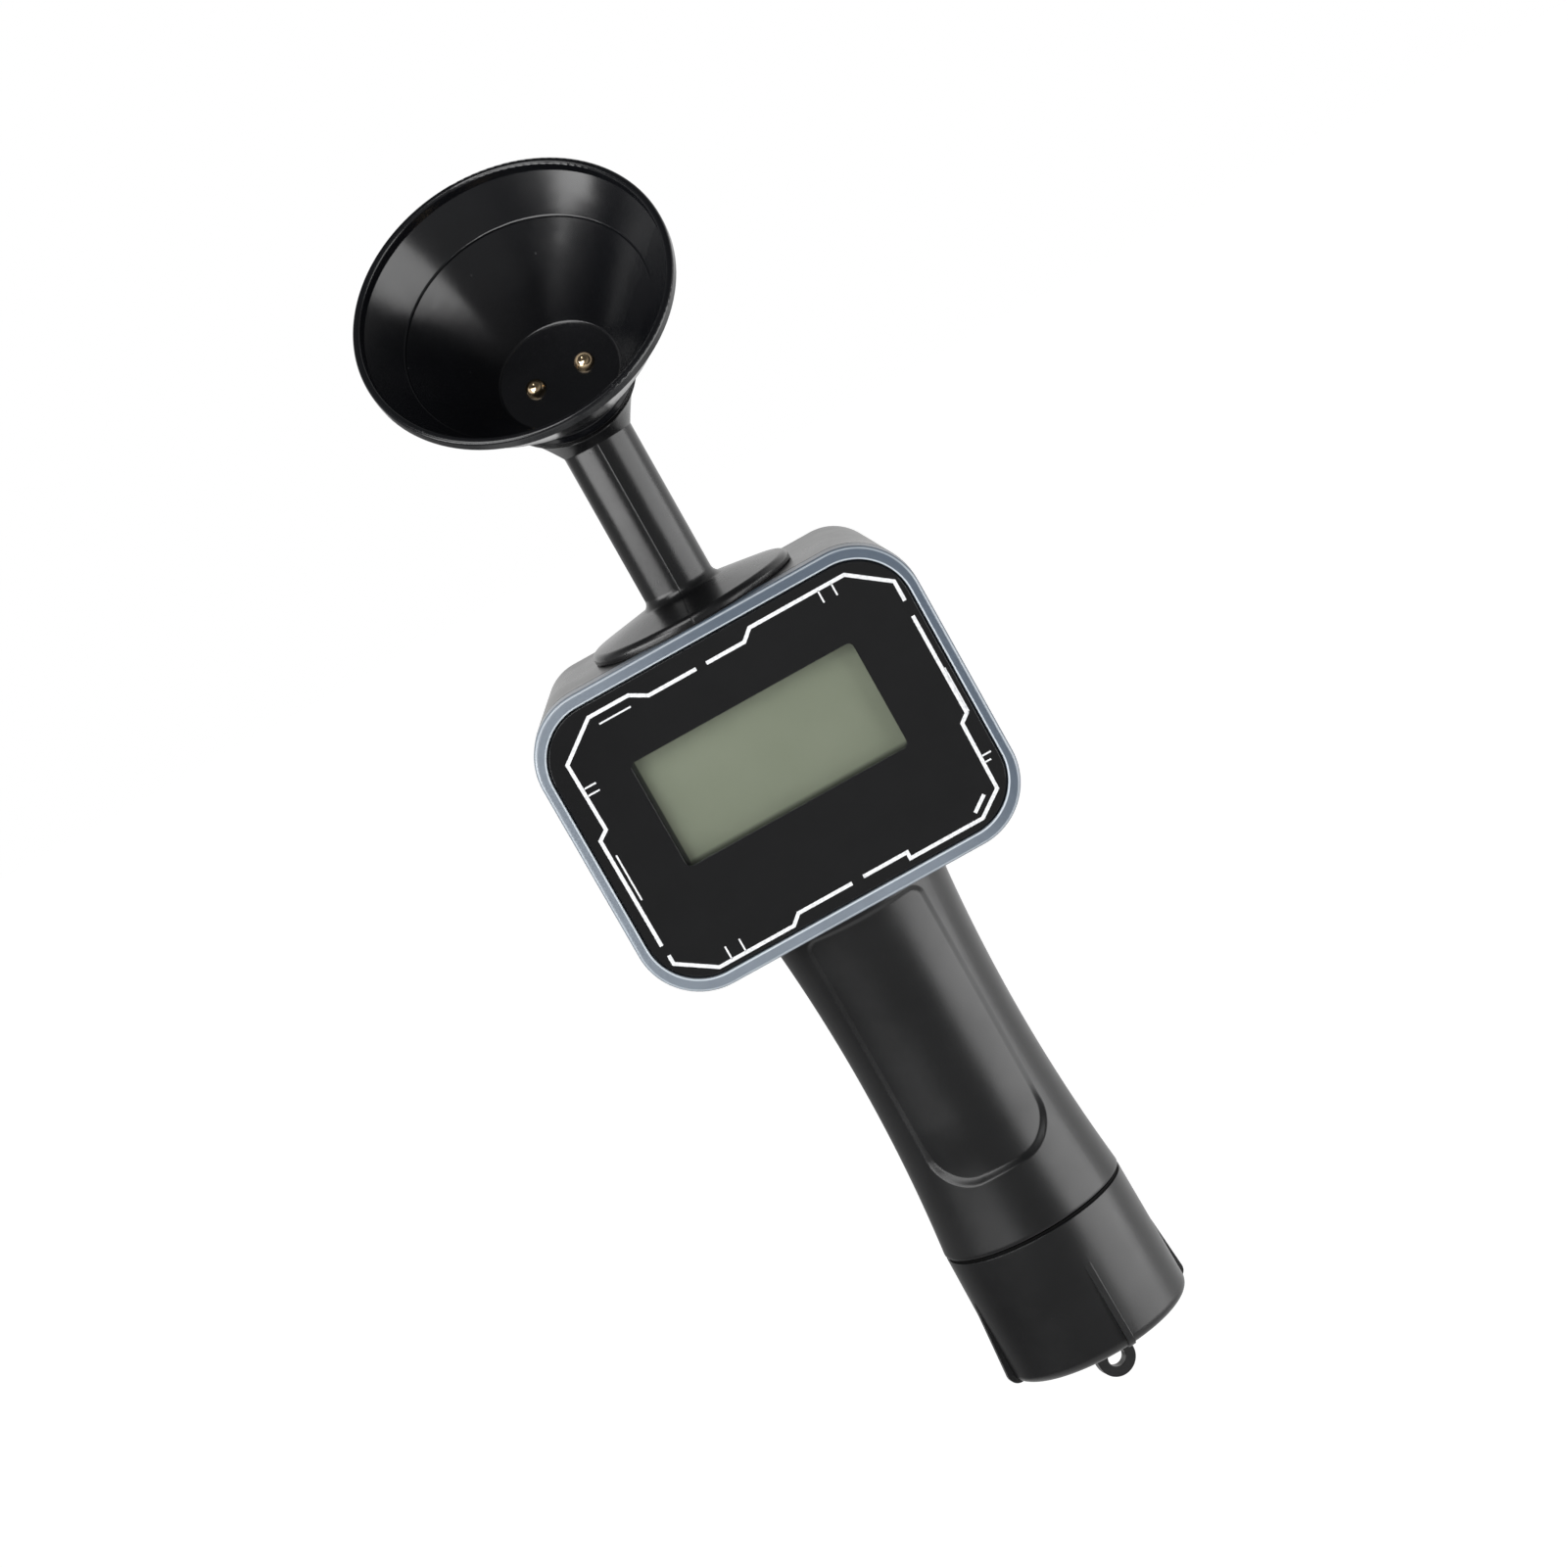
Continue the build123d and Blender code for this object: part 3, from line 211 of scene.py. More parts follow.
def moulded(
    name,
    colour,
    rough,
    grain=0.02,
    grain_scale=3200.0,
    wave=0.0,
    wave_scale=60.0,
    specks=0.0,
    specks_scale=900.0,
    edge=0.0003,
    edge_wear_and_glint_colour=None,
    level=0.5,
    variation=0.12,
    extra=None,
    metallic=0.0,
    subsurface=0.0,
    subsurface_radius=0.001,
):
    """Moulded plastic, rubber or plated metal: mottled colour, uneven gloss, fine
    grain, scattered specks and softened, slightly worn edges. The lighter edge colour
    is wear, and on the bezel and the faceplate also a painted highlight where light
    catches the edges. The extra function adds to the colour, the roughness and the
    normal."""
    material = bpy.data.materials.new(name)
    t = Tree(material)
    here = t.place()
    shader = t.node("BsdfPrincipled")
    shader.inputs["Metallic"].default_value = metallic
    shader.inputs["Specular IOR Level"].default_value = level
    if subsurface:
        shader.inputs["Subsurface Weight"].default_value = subsurface
        shader.inputs["Subsurface Radius"].default_value = (1.0, 1.0, 1.0)
        shader.inputs["Subsurface Scale"].default_value = subsurface_radius
    mottle = t.noise(here, 140.0, 4.0, 0.6)
    dark = rgb([channel * (1 - variation) for channel in colour])
    light = rgb([min(1, channel * (1 + variation)) for channel in colour])
    shade = t.blend(t.spread(mottle, 0.3, 0.7), dark, light)
    smudge = t.noise(here, 45.0, 5.0, 0.65)
    gloss = t.spread(smudge, 0.3, 0.7, rough * 0.88, rough * 1.14)
    normal = None
    if edge:
        worn, normal = edge_mask(t, edge)
        # Lighter edges: wear, and where a bright edge colour is given, a painted
        # highlight
        patchy = t.math("MULTIPLY", worn, t.spread(t.noise(here, 700.0), 0.35, 0.65))
        wear_and_glint_colour = edge_wear_and_glint_colour or [channel * 1.9 + 0.012 for channel in colour]
        shade = t.blend(t.math("MULTIPLY", patchy, 0.55), shade, rgb(wear_and_glint_colour))
    if specks:
        cells = t.node("TexVoronoi", feature="F1")
        t.put(here, cells.inputs["Vector"])
        cells.inputs["Scale"].default_value = specks_scale
        near = t.spread(cells.outputs["Distance"], 0.13, 0.06)
        picked = t.parts(cells.outputs["Color"])[0]
        mote = t.math("MULTIPLY", near, t.math("GREATER_THAN", picked, 1 - specks))
        dusty = rgb([channel * 2.2 + 0.03 for channel in colour])
        shade = t.blend(t.math("MULTIPLY", mote, 0.5), shade, dusty)
        gloss = t.math("ADD", gloss, t.math("MULTIPLY", mote, 0.2))
    if grain:
        fine = t.noise(here, grain_scale, 3.0, 0.6)
        normal = t.bump(fine, 0.00012, grain, normal)
    if wave:
        broad = t.noise(here, wave_scale, 2.0, 0.4)
        normal = t.bump(broad, 0.002, wave, normal)
    if extra:
        shade, gloss, normal = extra(t, here, shade, gloss, normal)
    t.put(shade, shader.inputs["Base Color"])
    t.put(gloss, shader.inputs["Roughness"])
    if normal is not None:
        t.put(normal, shader.inputs["Normal"])
    t.finish(shader)
    return material


def wear(node, material):
    """Gives a CAD node its material; its mesh stays as model.glb has it."""
    data = nodes[node].data
    data.materials.clear()
    data.materials.append(material)


# ---------------------------------------------------------------- materials
def thread_bump(t, x, y, z, where, normal):
    """One screw ridge that winds up round the handle's axis, where the mask is 1."""
    turn = t.math("DIVIDE", t.math("ARCTAN2", y, x), 2 * pi)
    row = t.math("ADD", t.math("DIVIDE", z, THREAD_PITCH * MM), turn)
    ridge = t.spread(t.math("PINGPONG", row, 0.5), 0.12, 0.42, smooth=True)
    return t.bump(t.math("MULTIPLY", ridge, where), 0.0006, 1.0, normal)


def thread(t, here, shade, gloss, normal):
    """Screw thread on the grip's nose, which shows when the cap comes off."""
    x, y, z = t.parts(here)[:3]
    on_nose = t.math("LESS_THAN", z, NOSE_TOP * MM)
    return shade, gloss, thread_bump(t, x, y, z, on_nose, normal)


def bore_thread(t, here, shade, gloss, normal):
    """The matching thread inside the cap's mouth, not on its underside or its eye."""
    x, y, z = t.parts(here)[:3]
    within = t.math("LESS_THAN", t.hypot(x, y), MOUTH_R * MM)
    in_mouth = t.math("MULTIPLY", within, t.math("GREATER_THAN", z, MOUTH_LOW * MM))
    return shade, gloss, thread_bump(t, x, y, z, in_mouth, normal)


def cup_rings(t, here, shade, gloss, normal):
    """Fine raised rings where the mould's inserts meet: at the crease of the bowl
    and around its floor. Heights run along the cup's tilted axis."""
    _, y, z = t.parts(here)[:3]
    rise = t.math("SUBTRACT", z, SEAM_Z * MM)
    along = t.math(
        "ADD", t.math("MULTIPLY", y, -sin(TILT)), t.math("MULTIPLY", rise, cos(TILT))
    )
    waver = t.math("MULTIPLY", t.noise(here, 300.0), 0.0001)
    height = t.math("ADD", along, waver)
    rings = []
    for level, half_width in ((CREASE_H, 0.00028), (FLOOR_H, 0.00035)):
        off = t.math("ABSOLUTE", t.math("SUBTRACT", height, level * MM))
        rings.append(t.spread(off, half_width, 0.0, smooth=True))
    return shade, gloss, t.bump(t.math("MAXIMUM", *rings), 0.00018, 1.0, normal)


def outline_distance(t, x, up, outline):
    """Distance from a rounded rectangle's outline, below zero inside it."""
    half_w, half_h, corner = (length * MM for length in outline)
    past_x = t.math("SUBTRACT", t.math("ABSOLUTE", x), half_w - corner)
    past_z = t.math("SUBTRACT", t.math("ABSOLUTE", up), half_h - corner)
    outside = t.hypot(t.math("MAXIMUM", past_x, 0.0), t.math("MAXIMUM", past_z, 0.0))
    inside = t.math("MINIMUM", t.math("MAXIMUM", past_x, past_z), 0.0)
    return t.math("SUBTRACT", t.math("ADD", outside, inside), corner)


def lit_edges(t, here, shade, gloss, normal):
    """Painted light and shade on the frosted frame: light bands painted along its outer
    round and inner lip, where light gathers, and painted shade that makes the upper
    right of the frame a little darker than the lower left."""
    x, y, z = t.parts(here)[:3]
    up = t.math("SUBTRACT", z, BODY_MID_Z * MM)
    # Painted shade: the upper right of the frame darker than the lower left
    slope = t.math("ADD", t.math("MULTIPLY", x, 1.5), up)
    painted_shade_upper_right = t.spread(slope, -0.02, 0.05, 0.0, 0.85, smooth=True)
    shade = t.blend(painted_shade_upper_right, shade, rgb((0.07, 0.093, 0.125)))
    # Painted highlight: light bands along the inner lip and the outer round
    lip_off, rim_off, fade, core = 0.00018, -0.00042, 0.00026, 0.00008
    lip = t.math("SUBTRACT", outline_distance(t, x, up, BEZEL_INNER), lip_off)
    rim = t.math("SUBTRACT", outline_distance(t, x, up, BEZEL_OUTER), rim_off)
    lines = t.math(
        "MAXIMUM",
        t.spread(t.math("ABSOLUTE", lip), fade, core, 0.0, 0.8, smooth=True),
        t.spread(t.math("ABSOLUTE", rim), fade, core, 0.0, 0.45, smooth=True),
    )
    painted_light_on_front = t.math("MULTIPLY", lines, t.spread(y, -0.0222, -0.0228))
    return t.blend(painted_light_on_front, shade, rgb((0.60, 0.66, 0.71))), gloss, normal


def parting_line(t, here, shade, gloss, normal):
    """Fine mould seam down the front and back of the stem."""
    left, fade, core, depth = 0.0001, 0.00022, 0.00004, 0.00005
    off = t.math("ABSOLUTE", t.math("ADD", t.parts(here)[0], left))
    line = t.spread(off, fade, core, smooth=True)
    return shade, gloss, t.bump(t.math("MULTIPLY", line, -1.0), depth, 1.0, normal)


satin = moulded(
    "satin_black", (0.0042, 0.0043, 0.0047), 0.34, grain=0.10, wave=0.03,
    specks=0.012, extra=thread,
)
cap_satin = moulded(
    "satin_black_cap", (0.0042, 0.0043, 0.0047), 0.33, grain=0.10, wave=0.03,
    specks=0.012, extra=bore_thread,
)
shell_satin = moulded(
    "satin_black_shell", (0.0052, 0.0053, 0.0058), 0.29, grain=0.08, wave=0.03,
    specks=0.01, level=0.6,
)
cup_gloss = moulded(
    "gloss_black_cup", (0.0042, 0.0045, 0.0056), 0.20, grain=0.03, wave=0.05,
    wave_scale=90.0, specks=0.035, specks_scale=520.0, edge=0.0002, extra=cup_rings,
)
neck_black = moulded(
    "semigloss_black_neck", (0.0050, 0.0051, 0.0055), 0.26, grain=0.10, wave=0.05,
    specks=0.03, extra=parting_line,
)
# Gloss faceplate: its lighter edges are partly wear and partly a painted highlight
# along the plate's edges
plate_gloss = moulded(
    "gloss_black_plate", (0.0045, 0.0046, 0.005), 0.10, grain=0.012, wave=0.02,
    wave_scale=30.0, specks=0.006, edge=0.00015,
    edge_wear_and_glint_colour=(0.05, 0.055, 0.06),
)
# Frosted bezel: its pale edge colour is a painted highlight where light gathers in the
# frame's edges; lit_edges paints more light and shade on it
frosted = moulded(
    "frosted_bezel", (0.18, 0.209, 0.245), 0.34, grain=0.05, wave=0.0, specks=0.01,
    edge=0.0003, edge_wear_and_glint_colour=(0.52, 0.58, 0.64), variation=0.05, level=0.6,
    subsurface=0.25, subsurface_radius=0.0015, extra=lit_edges,
)
gasket_rubber = moulded(
    "seal_rubber", (0.006, 0.006, 0.0065), 0.62, grain=0.12, edge=0.0
)
button_black = moulded(
    "button_black", (0.017, 0.0172, 0.018), 0.46, grain=0.16, specks=0.01
)
gold = moulded(
    "gold_plate", (0.83, 0.63, 0.40), 0.09, grain=0.05, edge=0.0, variation=0.06,
    metallic=1.0,
)
steel = moulded(
    "zinc_steel", (0.55, 0.55, 0.56), 0.32, grain=0.10, edge=0.0001, metallic=1.0,
    edge_wear_and_glint_colour=(0.75, 0.75, 0.76), variation=0.08,
)
tinned = moulded(
    "tinned_copper", (0.66, 0.60, 0.52), 0.34, grain=0.10, edge=0.0, metallic=1.0
)
# Cap seal: black rubber made darker and duller than rubber, so that it also serves as
# painted shade in the seam's groove
seal_black_painted_shade = moulded(
    "seal_black_painted_shade", (0.002, 0.002, 0.0021), 0.7, grain=0.1, edge=0.0, level=0.08
)
foam = moulded(
    "pad_foam", (0.035, 0.035, 0.038), 0.95, grain=1.0, grain_scale=1500.0, edge=0.0,
    level=0.2,
)
white_moulding = moulded(
    "white_moulding", (0.62, 0.62, 0.59), 0.45, grain=0.05, variation=0.04,
    edge_wear_and_glint_colour=(0.75, 0.75, 0.72),
)
black_moulding = moulded("black_moulding", (0.02, 0.02, 0.021), 0.5, grain=0.12)
zebra_rubber = moulded(
    "zebra_rubber", (0.30, 0.17, 0.16), 0.6, grain=0.2, edge=0.0, variation=0.3
)
can = moulded(
    "bare_can", (0.75, 0.75, 0.77), 0.28, grain=0.05, edge=0.0001, metallic=1.0,
    edge_wear_and_glint_colour=(0.85, 0.85, 0.87),
)
red_lead = moulded("red_lead", (0.40, 0.015, 0.012), 0.42, grain=0.05, edge=0.0)
black_lead = moulded("black_lead", (0.012, 0.012, 0.012), 0.42, grain=0.05, edge=0.0)


def board_material():
    """Green lacquered board with copper tracks under the lacquer."""

    def tracks(t, here, shade, gloss, normal):
        x, _, z = t.parts(here)[:3]
        slant, half_spacing, track_w = 0.37, 0.0012, 0.0003
        leaning = t.math("ADD", x, t.math("MULTIPLY", z, slant))
        across = t.math("PINGPONG", leaning, half_spacing)
        line = t.math("LESS_THAN", across, track_w)
        picked = t.math("GREATER_THAN", t.noise(here, 120.0), 0.5)
        shown = t.math("MULTIPLY", line, picked)
        return t.blend(shown, shade, rgb((0.05, 0.24, 0.06))), gloss, normal

    return moulded(
        "board_green", (0.012, 0.10, 0.03), 0.28, grain=0.03, variation=0.1,
        extra=tracks,
    )


def battery_material():
    """Painted jacket: dark with a copper-coloured band at the terminal end."""

    def band(t, here, shade, gloss, normal):
        z = t.parts(here)[2]
        upper = t.math("GREATER_THAN", z, COPPER_BAND_Z * MM)
        shade = t.blend(upper, shade, rgb((0.52, 0.26, 0.10)))
        return shade, gloss, normal

    return moulded(
        "battery_jacket", (0.02, 0.021, 0.024), 0.26, grain=0.03, edge=0.0003,
        edge_wear_and_glint_colour=(0.4, 0.4, 0.4), extra=band,
    )


def display_material():
    """Blank reflective display: grey-green with a faint grid, a little darker to
    the right, with painted shade in a dark band along the left, the top and the foot,
    where the window's edge shades it."""
    material = bpy.data.materials.new("blank_display")
    t = Tree(material)
    here = t.place()
    x, _, z = t.parts(here)[:3]
    left, right, low, high = (edge * MM for edge in WINDOW)
    shader = t.node("BsdfPrincipled")
    cloud = t.noise(here, 60.0, 3.0, 0.6)
    shade = t.blend(
        t.spread(cloud, 0.3, 0.7), rgb((0.2, 0.214, 0.163)), rgb((0.211, 0.225, 0.173))
    )
    rightness = t.math("MULTIPLY", t.spread(x, left, right), 0.16)
    shade = t.blend(rightness, shade, rgb((0.19, 0.204, 0.155)))
    grid = t.node("TexChecker")
    t.put(here, grid.inputs["Vector"])
    grid.inputs["Scale"].default_value = 6000.0
    faint_grid = t.math("MULTIPLY", grid.outputs["Fac"], 0.03)
    shade = t.blend(faint_grid, shade, rgb((0.21, 0.226, 0.17)))
    # Painted shade: a dark band where the window's edge shades the display
    side = t.spread(x, left + 0.00095, left + 0.0007)
    top = t.spread(z, high - 0.00065, high - 0.0004)
    foot = t.spread(z, low + 0.0010, low, 0.0, 0.7, smooth=True)
    painted_window_shade = t.math("MAXIMUM", foot, t.math("MAXIMUM", side, top))
    shade = t.blend(t.math("MULTIPLY", painted_window_shade, 0.9), shade, rgb((0.012, 0.013, 0.013)))
    t.put(shade, shader.inputs["Base Color"])
    t.put(t.spread(cloud, 0.3, 0.7, 0.32, 0.4), shader.inputs["Roughness"])
    shader.inputs["Specular IOR Level"].default_value = 0.3
    t.finish(shader)
    return material


def lens_material():
    """Thin clear lens: what lies behind it shows through a faint polished skin,
    which only its front faces have."""
    material = bpy.data.materials.new("clear_lens")
    t = Tree(material)
    here = t.place()
    clear = t.node("BsdfTransparent")
    tint = t.blend(
        t.spread(t.noise(here, 50.0), 0.3, 0.7),
        rgb((0.95, 0.965, 0.95)),
        rgb((0.97, 0.98, 0.97)),
    )
    t.put(tint, clear.inputs["Color"])
    skin = t.node("BsdfAnisotropic")
    polish = t.spread(t.noise(here, 90.0, 4.0), 0.3, 0.7, 0.06, 0.12)
    t.put(polish, skin.inputs["Roughness"])
    fresnel = t.node("Fresnel")
    fresnel.inputs["IOR"].default_value = 1.45
    outer = t.math("SUBTRACT", 1.0, t.node("NewGeometry").outputs["Backfacing"])
    mixed = t.node("MixShader")
    t.put(t.math("MULTIPLY", fresnel, outer), mixed.inputs[0])
    t.put(clear, mixed.inputs[1])
    t.put(skin, mixed.inputs[2])
    t.finish(mixed)
    return material


def ink_material():
    """White screen print: slightly uneven, with thin spots."""
    material = bpy.data.materials.new("white_print")
    t = Tree(material)
    here = t.place()
    shader = t.node("BsdfPrincipled")
    worn = t.noise(here, 1600.0, 4.0, 0.6)
    shade = t.blend(
        t.spread(worn, 0.35, 0.6), rgb((0.60, 0.61, 0.62)), rgb((0.82, 0.83, 0.84))
    )
    t.put(shade, shader.inputs["Base Color"])
    t.put(t.spread(worn, 0.3, 0.7, 0.4, 0.55), shader.inputs["Roughness"])
    t.put(t.bump(worn, 0.00003, 0.5), shader.inputs["Normal"])
    t.finish(shader)
    return material


clear_lens = lens_material()
board_green = board_material()
jacket = battery_material()
looks = {
    "cup": cup_gloss,
    "neck": neck_black,
    "rear_shell": shell_satin,
    "grip": satin,
    "battery_cap": cap_satin,
    "bezel": frosted,
    "faceplate": plate_gloss,
    "window_lens": clear_lens,
    "lcd_panel": display_material(),
    "electrode_left": gold,
    "electrode_right": gold,
    "electrode_washers": steel,
    "electrode_nuts": steel,
    "neck_screws": steel,
    "grip_screws": steel,
    "housing_screws": steel,
    "switch_screws": steel,
    "ring_terminals": tinned,
    "cup_gasket": gasket_rubber,
    "neck_gasket": gasket_rubber,
    "bezel_seal": gasket_rubber,
    "cap_seal": seal_black_painted_shade,
    "cap_pad": foam,
    "power_button": button_black,
    "lcd_holder": white_moulding,
    "probe_connector": white_moulding,
    "battery_connector": white_moulding,
    "lcd_strips": zebra_rubber,
    "main_board": board_green,
    "switch_board": board_green,
    "board_chips": black_moulding,
    "buzzer": black_moulding,
    "button_switch": black_moulding,
    "battery_snap": black_moulding,
    "board_capacitors": can,
    "battery": jacket,
    "battery_leads": red_lead,
    "probe_leads": red_lead,
    "switch_leads": black_lead,
}
for node_name, look in looks.items():
    wear(node_name, look)


# ---------------------------------------------------------------- pieces
def join_rings(bm, rings, loop=False):
    """Joins each ring of vertices to the next, then closes the ends or the loop."""
    following = rings[1:] + rings[:1] if loop else rings[1:]
    for one, two in zip(rings, following):
        for k in range(len(one)):
            m = (k + 1) % len(one)
            bm.faces.new((one[k], one[m], two[m], two[k]))
    if not loop:
        bm.faces.new(rings[0][::-1])
        bm.faces.new(rings[-1])


def ribbon(bm, points, width):
    """Adds one line of raised ink as a closed strip with mitred corners; points are
    x, z from the plate's centre."""
    front, back = PLATE_FRONT_Y - INK_T, PLATE_FRONT_Y
    count = len(points)
    sides = []
    for i in range(count):
        here = Vector(points[i])
        before = (here - Vector(points[i - 1])).normalized() if i else None
        after = (Vector(points[i + 1]) - here).normalized() if i < count - 1 else None
        a, b = before or after, after or before
        normal_a, normal_b = Vector((-a.y, a.x)), Vector((-b.y, b.x))
        mitre = (normal_a + normal_b).normalized()
        reach = width / 2 / max(0.5, mitre.dot(normal_a))
        sides.append((here + mitre * reach, here - mitre * reach))
    rings = []
    for left, right in sides:
        ring = []
        for point, y in ((left, front), (right, front), (right, back), (left, back)):
            x, z = point.x + PRINT_RIGHT, BODY_MID_Z + point.y - PRINT_DOWN
            ring.append(bm.verts.new((x * MM, y * MM, z * MM)))
        rings.append(ring)
    join_rings(bm, rings)


def new_piece(name, bm, material, body="device", smooth=False):
    """Turns a bmesh into a piece of the scene that rides on one of the bodies."""
    bmesh.ops.recalc_face_normals(bm, faces=bm.faces)
    data = bpy.data.meshes.new(name)
    bm.to_mesh(data)
    bm.free()
    for face in data.polygons:
        face.use_smooth = smooth
    data.materials.append(material)
    piece = bpy.data.objects.new(name, data)
    bpy.context.scene.collection.objects.link(piece)
    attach(piece, body)
    return piece


def window_glass():
    """The lens as its own thin pane, just clear of the display behind it, so
    that no two faces share a place."""
    low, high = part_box("window_lens")
    corner, corner_steps, rim, gap = 0.0025, 8, 0.00012, 0.00008
    half_w, half_h = (high[0] - low[0]) / 2, (high[2] - low[2]) / 2
    middle_z = (high[2] + low[2]) / 2
    front, back = low[1], high[1] - gap

    def outline(inset, y):
        ring = []
        reach = corner - inset
        quarters = ((1, 1), (-1, 1), (-1, -1), (1, -1))
        for quarter, (side_x, side_z) in enumerate(quarters):
            for step in range(corner_steps + 1):
                angle = radians(90 * quarter + 90 * step / corner_steps)
                x = cos(angle) * reach + (half_w - corner) * side_x
                z = sin(angle) * reach + (half_h - corner) * side_z
                ring.append(bm.verts.new((x, y, middle_z + z)))
        return ring

    bm = bmesh.new()
    outer = ((rim, front), (0, front + rim), (0, back - rim), (rim, back))
    join_rings(bm, [outline(inset, y) for inset, y in outer])
    pane = new_piece("window_pane", bm, clear_lens)
    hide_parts("window_lens")


def grip_radius(z):
    """The waisted outline: an arc that is thinnest at the waist."""
    return WAIST_R + GRIP_BOW - sqrt(GRIP_BOW**2 - (z - WAIST_Z) ** 2)


def panel_sink(x, z):
    """How deep the grip's front panel is sunk at this place: shallow along the sides,
    deeper at the lower end, where the grip flares and the panel doesn't. The step
    starts at the panel's rounded outline and runs out gently further in."""
    lower = z < (PANEL_LOW + PANEL_HIGH) / 2
    corner = PANEL_LOW_ROUND if lower else PANEL_HIGH_ROUND
    past_x = abs(x) - PANEL_HALF_W + corner
    past_z = PANEL_LOW + corner - z if lower else z - PANEL_HIGH + corner
    reach_x, reach_z = max(past_x, 0), max(past_z, 0)
    off = hypot(reach_x, reach_z) + min(max(past_x, past_z), 0) - corner
    nearly_zero = 1e-6
    lowness = reach_z / max(hypot(reach_x, reach_z), nearly_zero) if lower else 0
    step = PANEL_SIDE_STEP + (PANEL_LOW_STEP - PANEL_SIDE_STEP) * lowness
    share = min((hypot(max(-off, 0), PANEL_EDGE) - PANEL_EDGE) / step, 1)
    foot = min(max((PANEL_DEEPER_FROM - z) / PANEL_DEEPER_OVER, 0), 1)
    eased = foot * foot * (3 - 2 * foot)
    depth = PANEL_HIGH_DEPTH + (PANEL_LOW_DEPTH - PANEL_HIGH_DEPTH) * eased
    return depth * (1 - (1 - share) ** PANEL_CURVE)


def grip_skin():
    """The waisted grip as one closed skin: sunk panel in front, nose for the cap,
    battery bore inside and spigot into the housing. Its angles and heights lie
    closer together where the panel's step runs."""
    half = [0.5 * i for i in range(80)] + [40 + 0.25 * i for i in range(49)]
    half += [53 + 5 * i for i in range(26)]
    angles = [-angle for angle in half[:0:-1]] + half
    edge = 0.25
    start = GRIP_LOW + 2 * edge
    outer = [start + (49 - start) * i / 20 for i in range(20)]
    outer += [49 + 0.15 * i for i in range(87)] + [62 + 0.6 * i for i in range(79)]
    outer += [109.4 + (GRIP_HIGH - 109.4) * i / 21 for i in range(22)]
    low_r, nose_r = grip_radius(start), 18.35
    # radius, z from the housing down through the bore and up the nose
    inner = (
        (12.4, GRIP_HIGH), (12.4, 118.1), (10.5, 118.1), (10.5, 102.0),
        (13.5, 101.5), (13.5, 68.4), (14.2, 68.4), (14.2, 57.0),
        (16.0, 57.0), (16.0, 28.7), (nose_r - edge, 28.7), (nose_r, 28.7 + edge),
        (nose_r, GRIP_LOW + edge), (low_r - edge, GRIP_LOW + edge),
        (low_r - edge * 0.3, GRIP_LOW + edge * 1.3),
    )
    bm = bmesh.new()

    def ring(radius, z, sunk):
        made = []
        for degrees in angles:
            turn = radians(degrees)
            in_front = sunk and abs(degrees) < PANEL_SEARCH_ANGLE
            reach = radius - (panel_sink(radius * sin(turn), z) if in_front else 0)
            x, y = reach * sin(turn), -reach * cos(turn)
            made.append(bm.verts.new((x * MM, y * MM, z * MM)))
        return made

    rings = [ring(grip_radius(z), z, True) for z in outer]
    rings += [ring(radius, z, False) for radius, z in inner]
    join_rings(bm, rings, loop=True)
    piece = new_piece("grip_skin", bm, satin, smooth=True)
    piece.data.set_sharp_from_angle(angle=radians(40))
    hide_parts("grip")


window_glass()
grip_skin()
ink = ink_material()
main_lines = (
    (
        (-37.95, -19.4), (-38.1, 5.2), (-36.0, 6.65), (-36.3, 21.7),
        (-28.0, 28.0), (-18.9, 28.0), (-15.4, 26.0), (-4.6, 26.0),
    ),
    ((-2.3, 26.0), (6.3, 26.0), (8.55, 28.0), (30.0, 28.0), (38.0, 22.0), (38.0, 17.6)),
    (
        (37.9, 14.2), (37.9, -8.1), (36.1, -9.5), (35.9, -24.4),
        (30.5, -28.3), (14.0, -28.3), (14.0, -26.9), (4.0, -26.9),
    ),
    (
        (1.4, -27.0), (-10.9, -27.0), (-12.9, -28.8),
        (-30.0, -28.8), (-37.65, -23.7), (-37.65, -21.7),
    ),
)
thin_lines = (
    ((-26.7, 25.8), (-19.6, 25.8)),
    ((-36.8, 1.15), (-36.8, -9.25)),
    ((38.4, 2.0), (38.4, -8.0)),
    ((-35.7, 15.9), (-33.1, 15.9)),
    ((-35.7, 14.3), (-33.1, 14.3)),
    ((23.9, 27.8), (23.9, 25.1)),
    ((26.9, 27.8), (26.9, 25.1)),
    ((-27.0, -25.7), (-27.0, -28.6)),
    ((-23.8, -25.7), (-23.8, -28.6)),
    ((36.3, -17.2), (38.4, -17.2)),
    ((36.3, -18.6), (37.7, -18.6)),
)
corner_dash = ((29.7, -26.6), (33.0, -24.2))
frame_mesh = bmesh.new()
for line in main_lines:
    ribbon(frame_mesh, line, MAIN_W)
for line in thin_lines:
    ribbon(frame_mesh, line, THIN_W)
ribbon(frame_mesh, corner_dash, MAIN_W)
new_piece("printed_frame", frame_mesh, ink)


# ---------------------------------------------------------------- studio
def softbox(name, azimuth, height, distance, width, tall, radiance, aim_z=0.15):
    """Area lamp that faces the object's axis; azimuth 0 is in front, 90 to the
    right."""
    data = bpy.data.lights.new(name, "AREA")
    data.shape = "RECTANGLE"
    data.size, data.size_y = width, tall
    data.energy = radiance * pi * width * tall
    lamp = bpy.data.objects.new(name, data)
    angle = radians(azimuth)
    place = Vector((sin(angle) * distance, -cos(angle) * distance, height))
    aim = Vector((0, 0, aim_z)) - place
    turn = aim.to_track_quat("-Z", "Y").to_matrix().to_4x4()
    lamp.matrix_world = Matrix.Translation(place) @ turn
    lamp.visible_camera = False
    bpy.context.scene.collection.objects.link(lamp)


def seen_straight(t, path):
    """1 for rays from the camera and rays through clear pieces."""
    return t.math(
        "MAXIMUM", path.outputs["Is Camera Ray"], path.outputs["Is Transmission Ray"]
    )


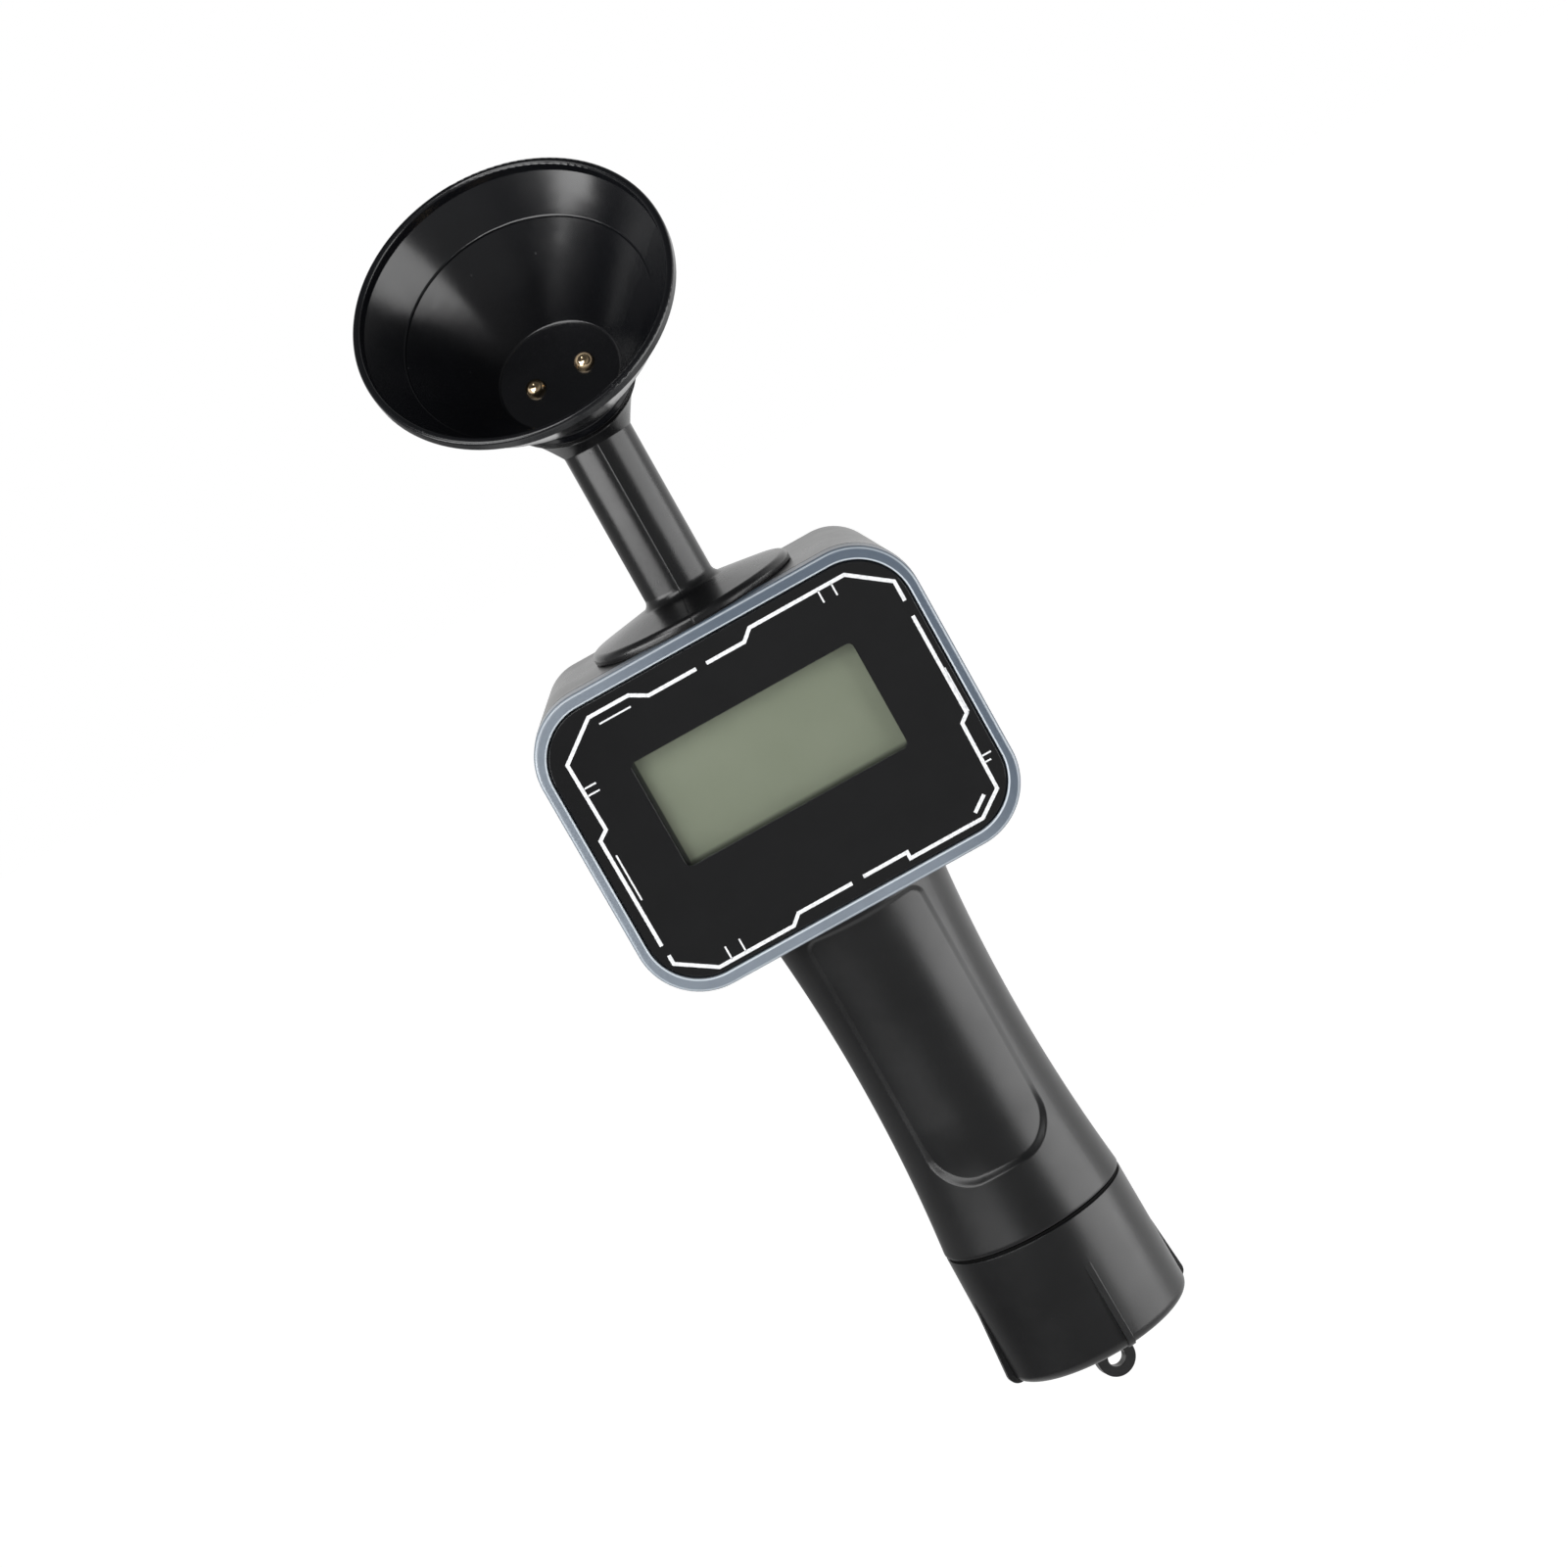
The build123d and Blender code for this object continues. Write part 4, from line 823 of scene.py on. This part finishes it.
def make_world():
    """White for the camera; for the object a white sweep behind it and to the
    rear right, a dim room in front of it and a darker ceiling."""
    world = bpy.data.worlds.new("studio")
    bpy.context.scene.world = world
    t = Tree(world)
    x, y, z = t.parts(t.node("TexCoord").outputs["Generated"])[:3]
    sweep = t.spread(y, 0.45, 0.92, 0.0, 0.75, smooth=True)
    right_rear = t.math(
        "MULTIPLY",
        t.spread(x, 0.2, 0.55, 0.0, 0.65, smooth=True),
        t.spread(y, -0.05, 0.3, smooth=True),
    )
    left_rear = t.math(
        "MULTIPLY",
        t.spread(x, -0.2, -0.6, 0.0, 0.15, smooth=True),
        t.spread(y, -0.2, 0.2, smooth=True),
    )
    bright = t.math("MAXIMUM", sweep, t.math("MAXIMUM", right_rear, left_rear))
    room_level = 0.22
    walls = t.math("ADD", bright, room_level)
    ceiling = t.spread(z, 0.35, 0.85, 1.0, 0.3, smooth=True)
    studio = t.math("MULTIPLY", walls, ceiling)
    level = t.node("Mix", data_type="FLOAT")
    t.put(seen_straight(t, t.node("LightPath")), level.inputs["Factor"])
    t.put(studio, level.inputs["A"])
    level.inputs["B"].default_value = 1.0
    background = t.node("Background")
    background.inputs["Color"].default_value = (1, 1, 1, 1)
    t.put(level.outputs["Result"], background.inputs["Strength"])
    t.finish(background, "OutputWorld")


def make_floor():
    """Pale floor: white to the camera, with a soft shadow, and in glossy surfaces
    white under and behind the object but dim in front of it, as in a dark room."""
    half_size, height = 6.0, -0.36
    bm = bmesh.new()
    bmesh.ops.create_grid(bm, x_segments=1, y_segments=1, size=half_size)
    bmesh.ops.translate(bm, verts=bm.verts, vec=(0, 0, height))
    data = bpy.data.meshes.new("floor")
    bm.to_mesh(data)
    bm.free()
    floor = bpy.data.objects.new("floor", data)
    bpy.context.scene.collection.objects.link(floor)
    material = bpy.data.materials.new("pale_floor")
    t = Tree(material)
    plain = t.node("BsdfDiffuse")
    plain.inputs["Color"].default_value = (0.8, 0.8, 0.8, 1)
    glow = t.node("Emission")
    glow.inputs["Strength"].default_value = 0.94
    thin = t.node("BsdfDiffuse")
    thin.inputs["Color"].default_value = (0.3, 0.3, 0.3, 1)
    white = t.node("AddShader")
    t.put(glow, white.inputs[0])
    t.put(thin, white.inputs[1])
    x, y = t.parts(t.place())[:2]
    near = t.spread(t.hypot(x, y), 0.9, 0.35, smooth=True)
    behind = t.math(
        "MULTIPLY",
        t.spread(y, 0.1, 0.7, smooth=True),
        t.spread(x, -0.8, -0.2, 0.25, 1.0),
    )
    right = t.math(
        "MULTIPLY",
        t.spread(x, 0.3, 0.7, smooth=True),
        t.spread(y, -0.3, 0.2, smooth=True),
    )
    pale = t.math("MAXIMUM", near, t.math("MAXIMUM", behind, right))
    sheet = t.node("Emission")
    dim = t.spread(x, -0.9, -0.1, 0.10, 0.33, smooth=True)
    pale_level = 0.97
    mirror_level = t.math("MAXIMUM", dim, t.math("MULTIPLY", pale, pale_level))
    t.put(mirror_level, sheet.inputs["Strength"])
    path = t.node("LightPath")
    mirrored = t.node("MixShader")
    t.put(path.outputs["Is Glossy Ray"], mirrored.inputs[0])
    t.put(plain, mirrored.inputs[1])
    t.put(sheet, mirrored.inputs[2])
    mixed = t.node("MixShader")
    t.put(seen_straight(t, path), mixed.inputs[0])
    t.put(mirrored, mixed.inputs[1])
    t.put(white, mixed.inputs[2])
    t.finish(mixed)
    data.materials.append(material)


make_world()
make_floor()
# Each lamp: azimuth, height, distance, width, height of its face, radiance
softbox("right_box", 70, -0.055, 0.85, 0.98, 0.59, 4.1, aim_z=-0.055)
softbox("left_box", -53, 0.265, 0.85, 0.92, 0.35, 6.5, aim_z=0.265)
softbox("front_high_box", -24, 0.81, 0.70, 0.54, 0.60, 5.2)

scene = bpy.context.scene
scene.view_settings.view_transform = "Standard"
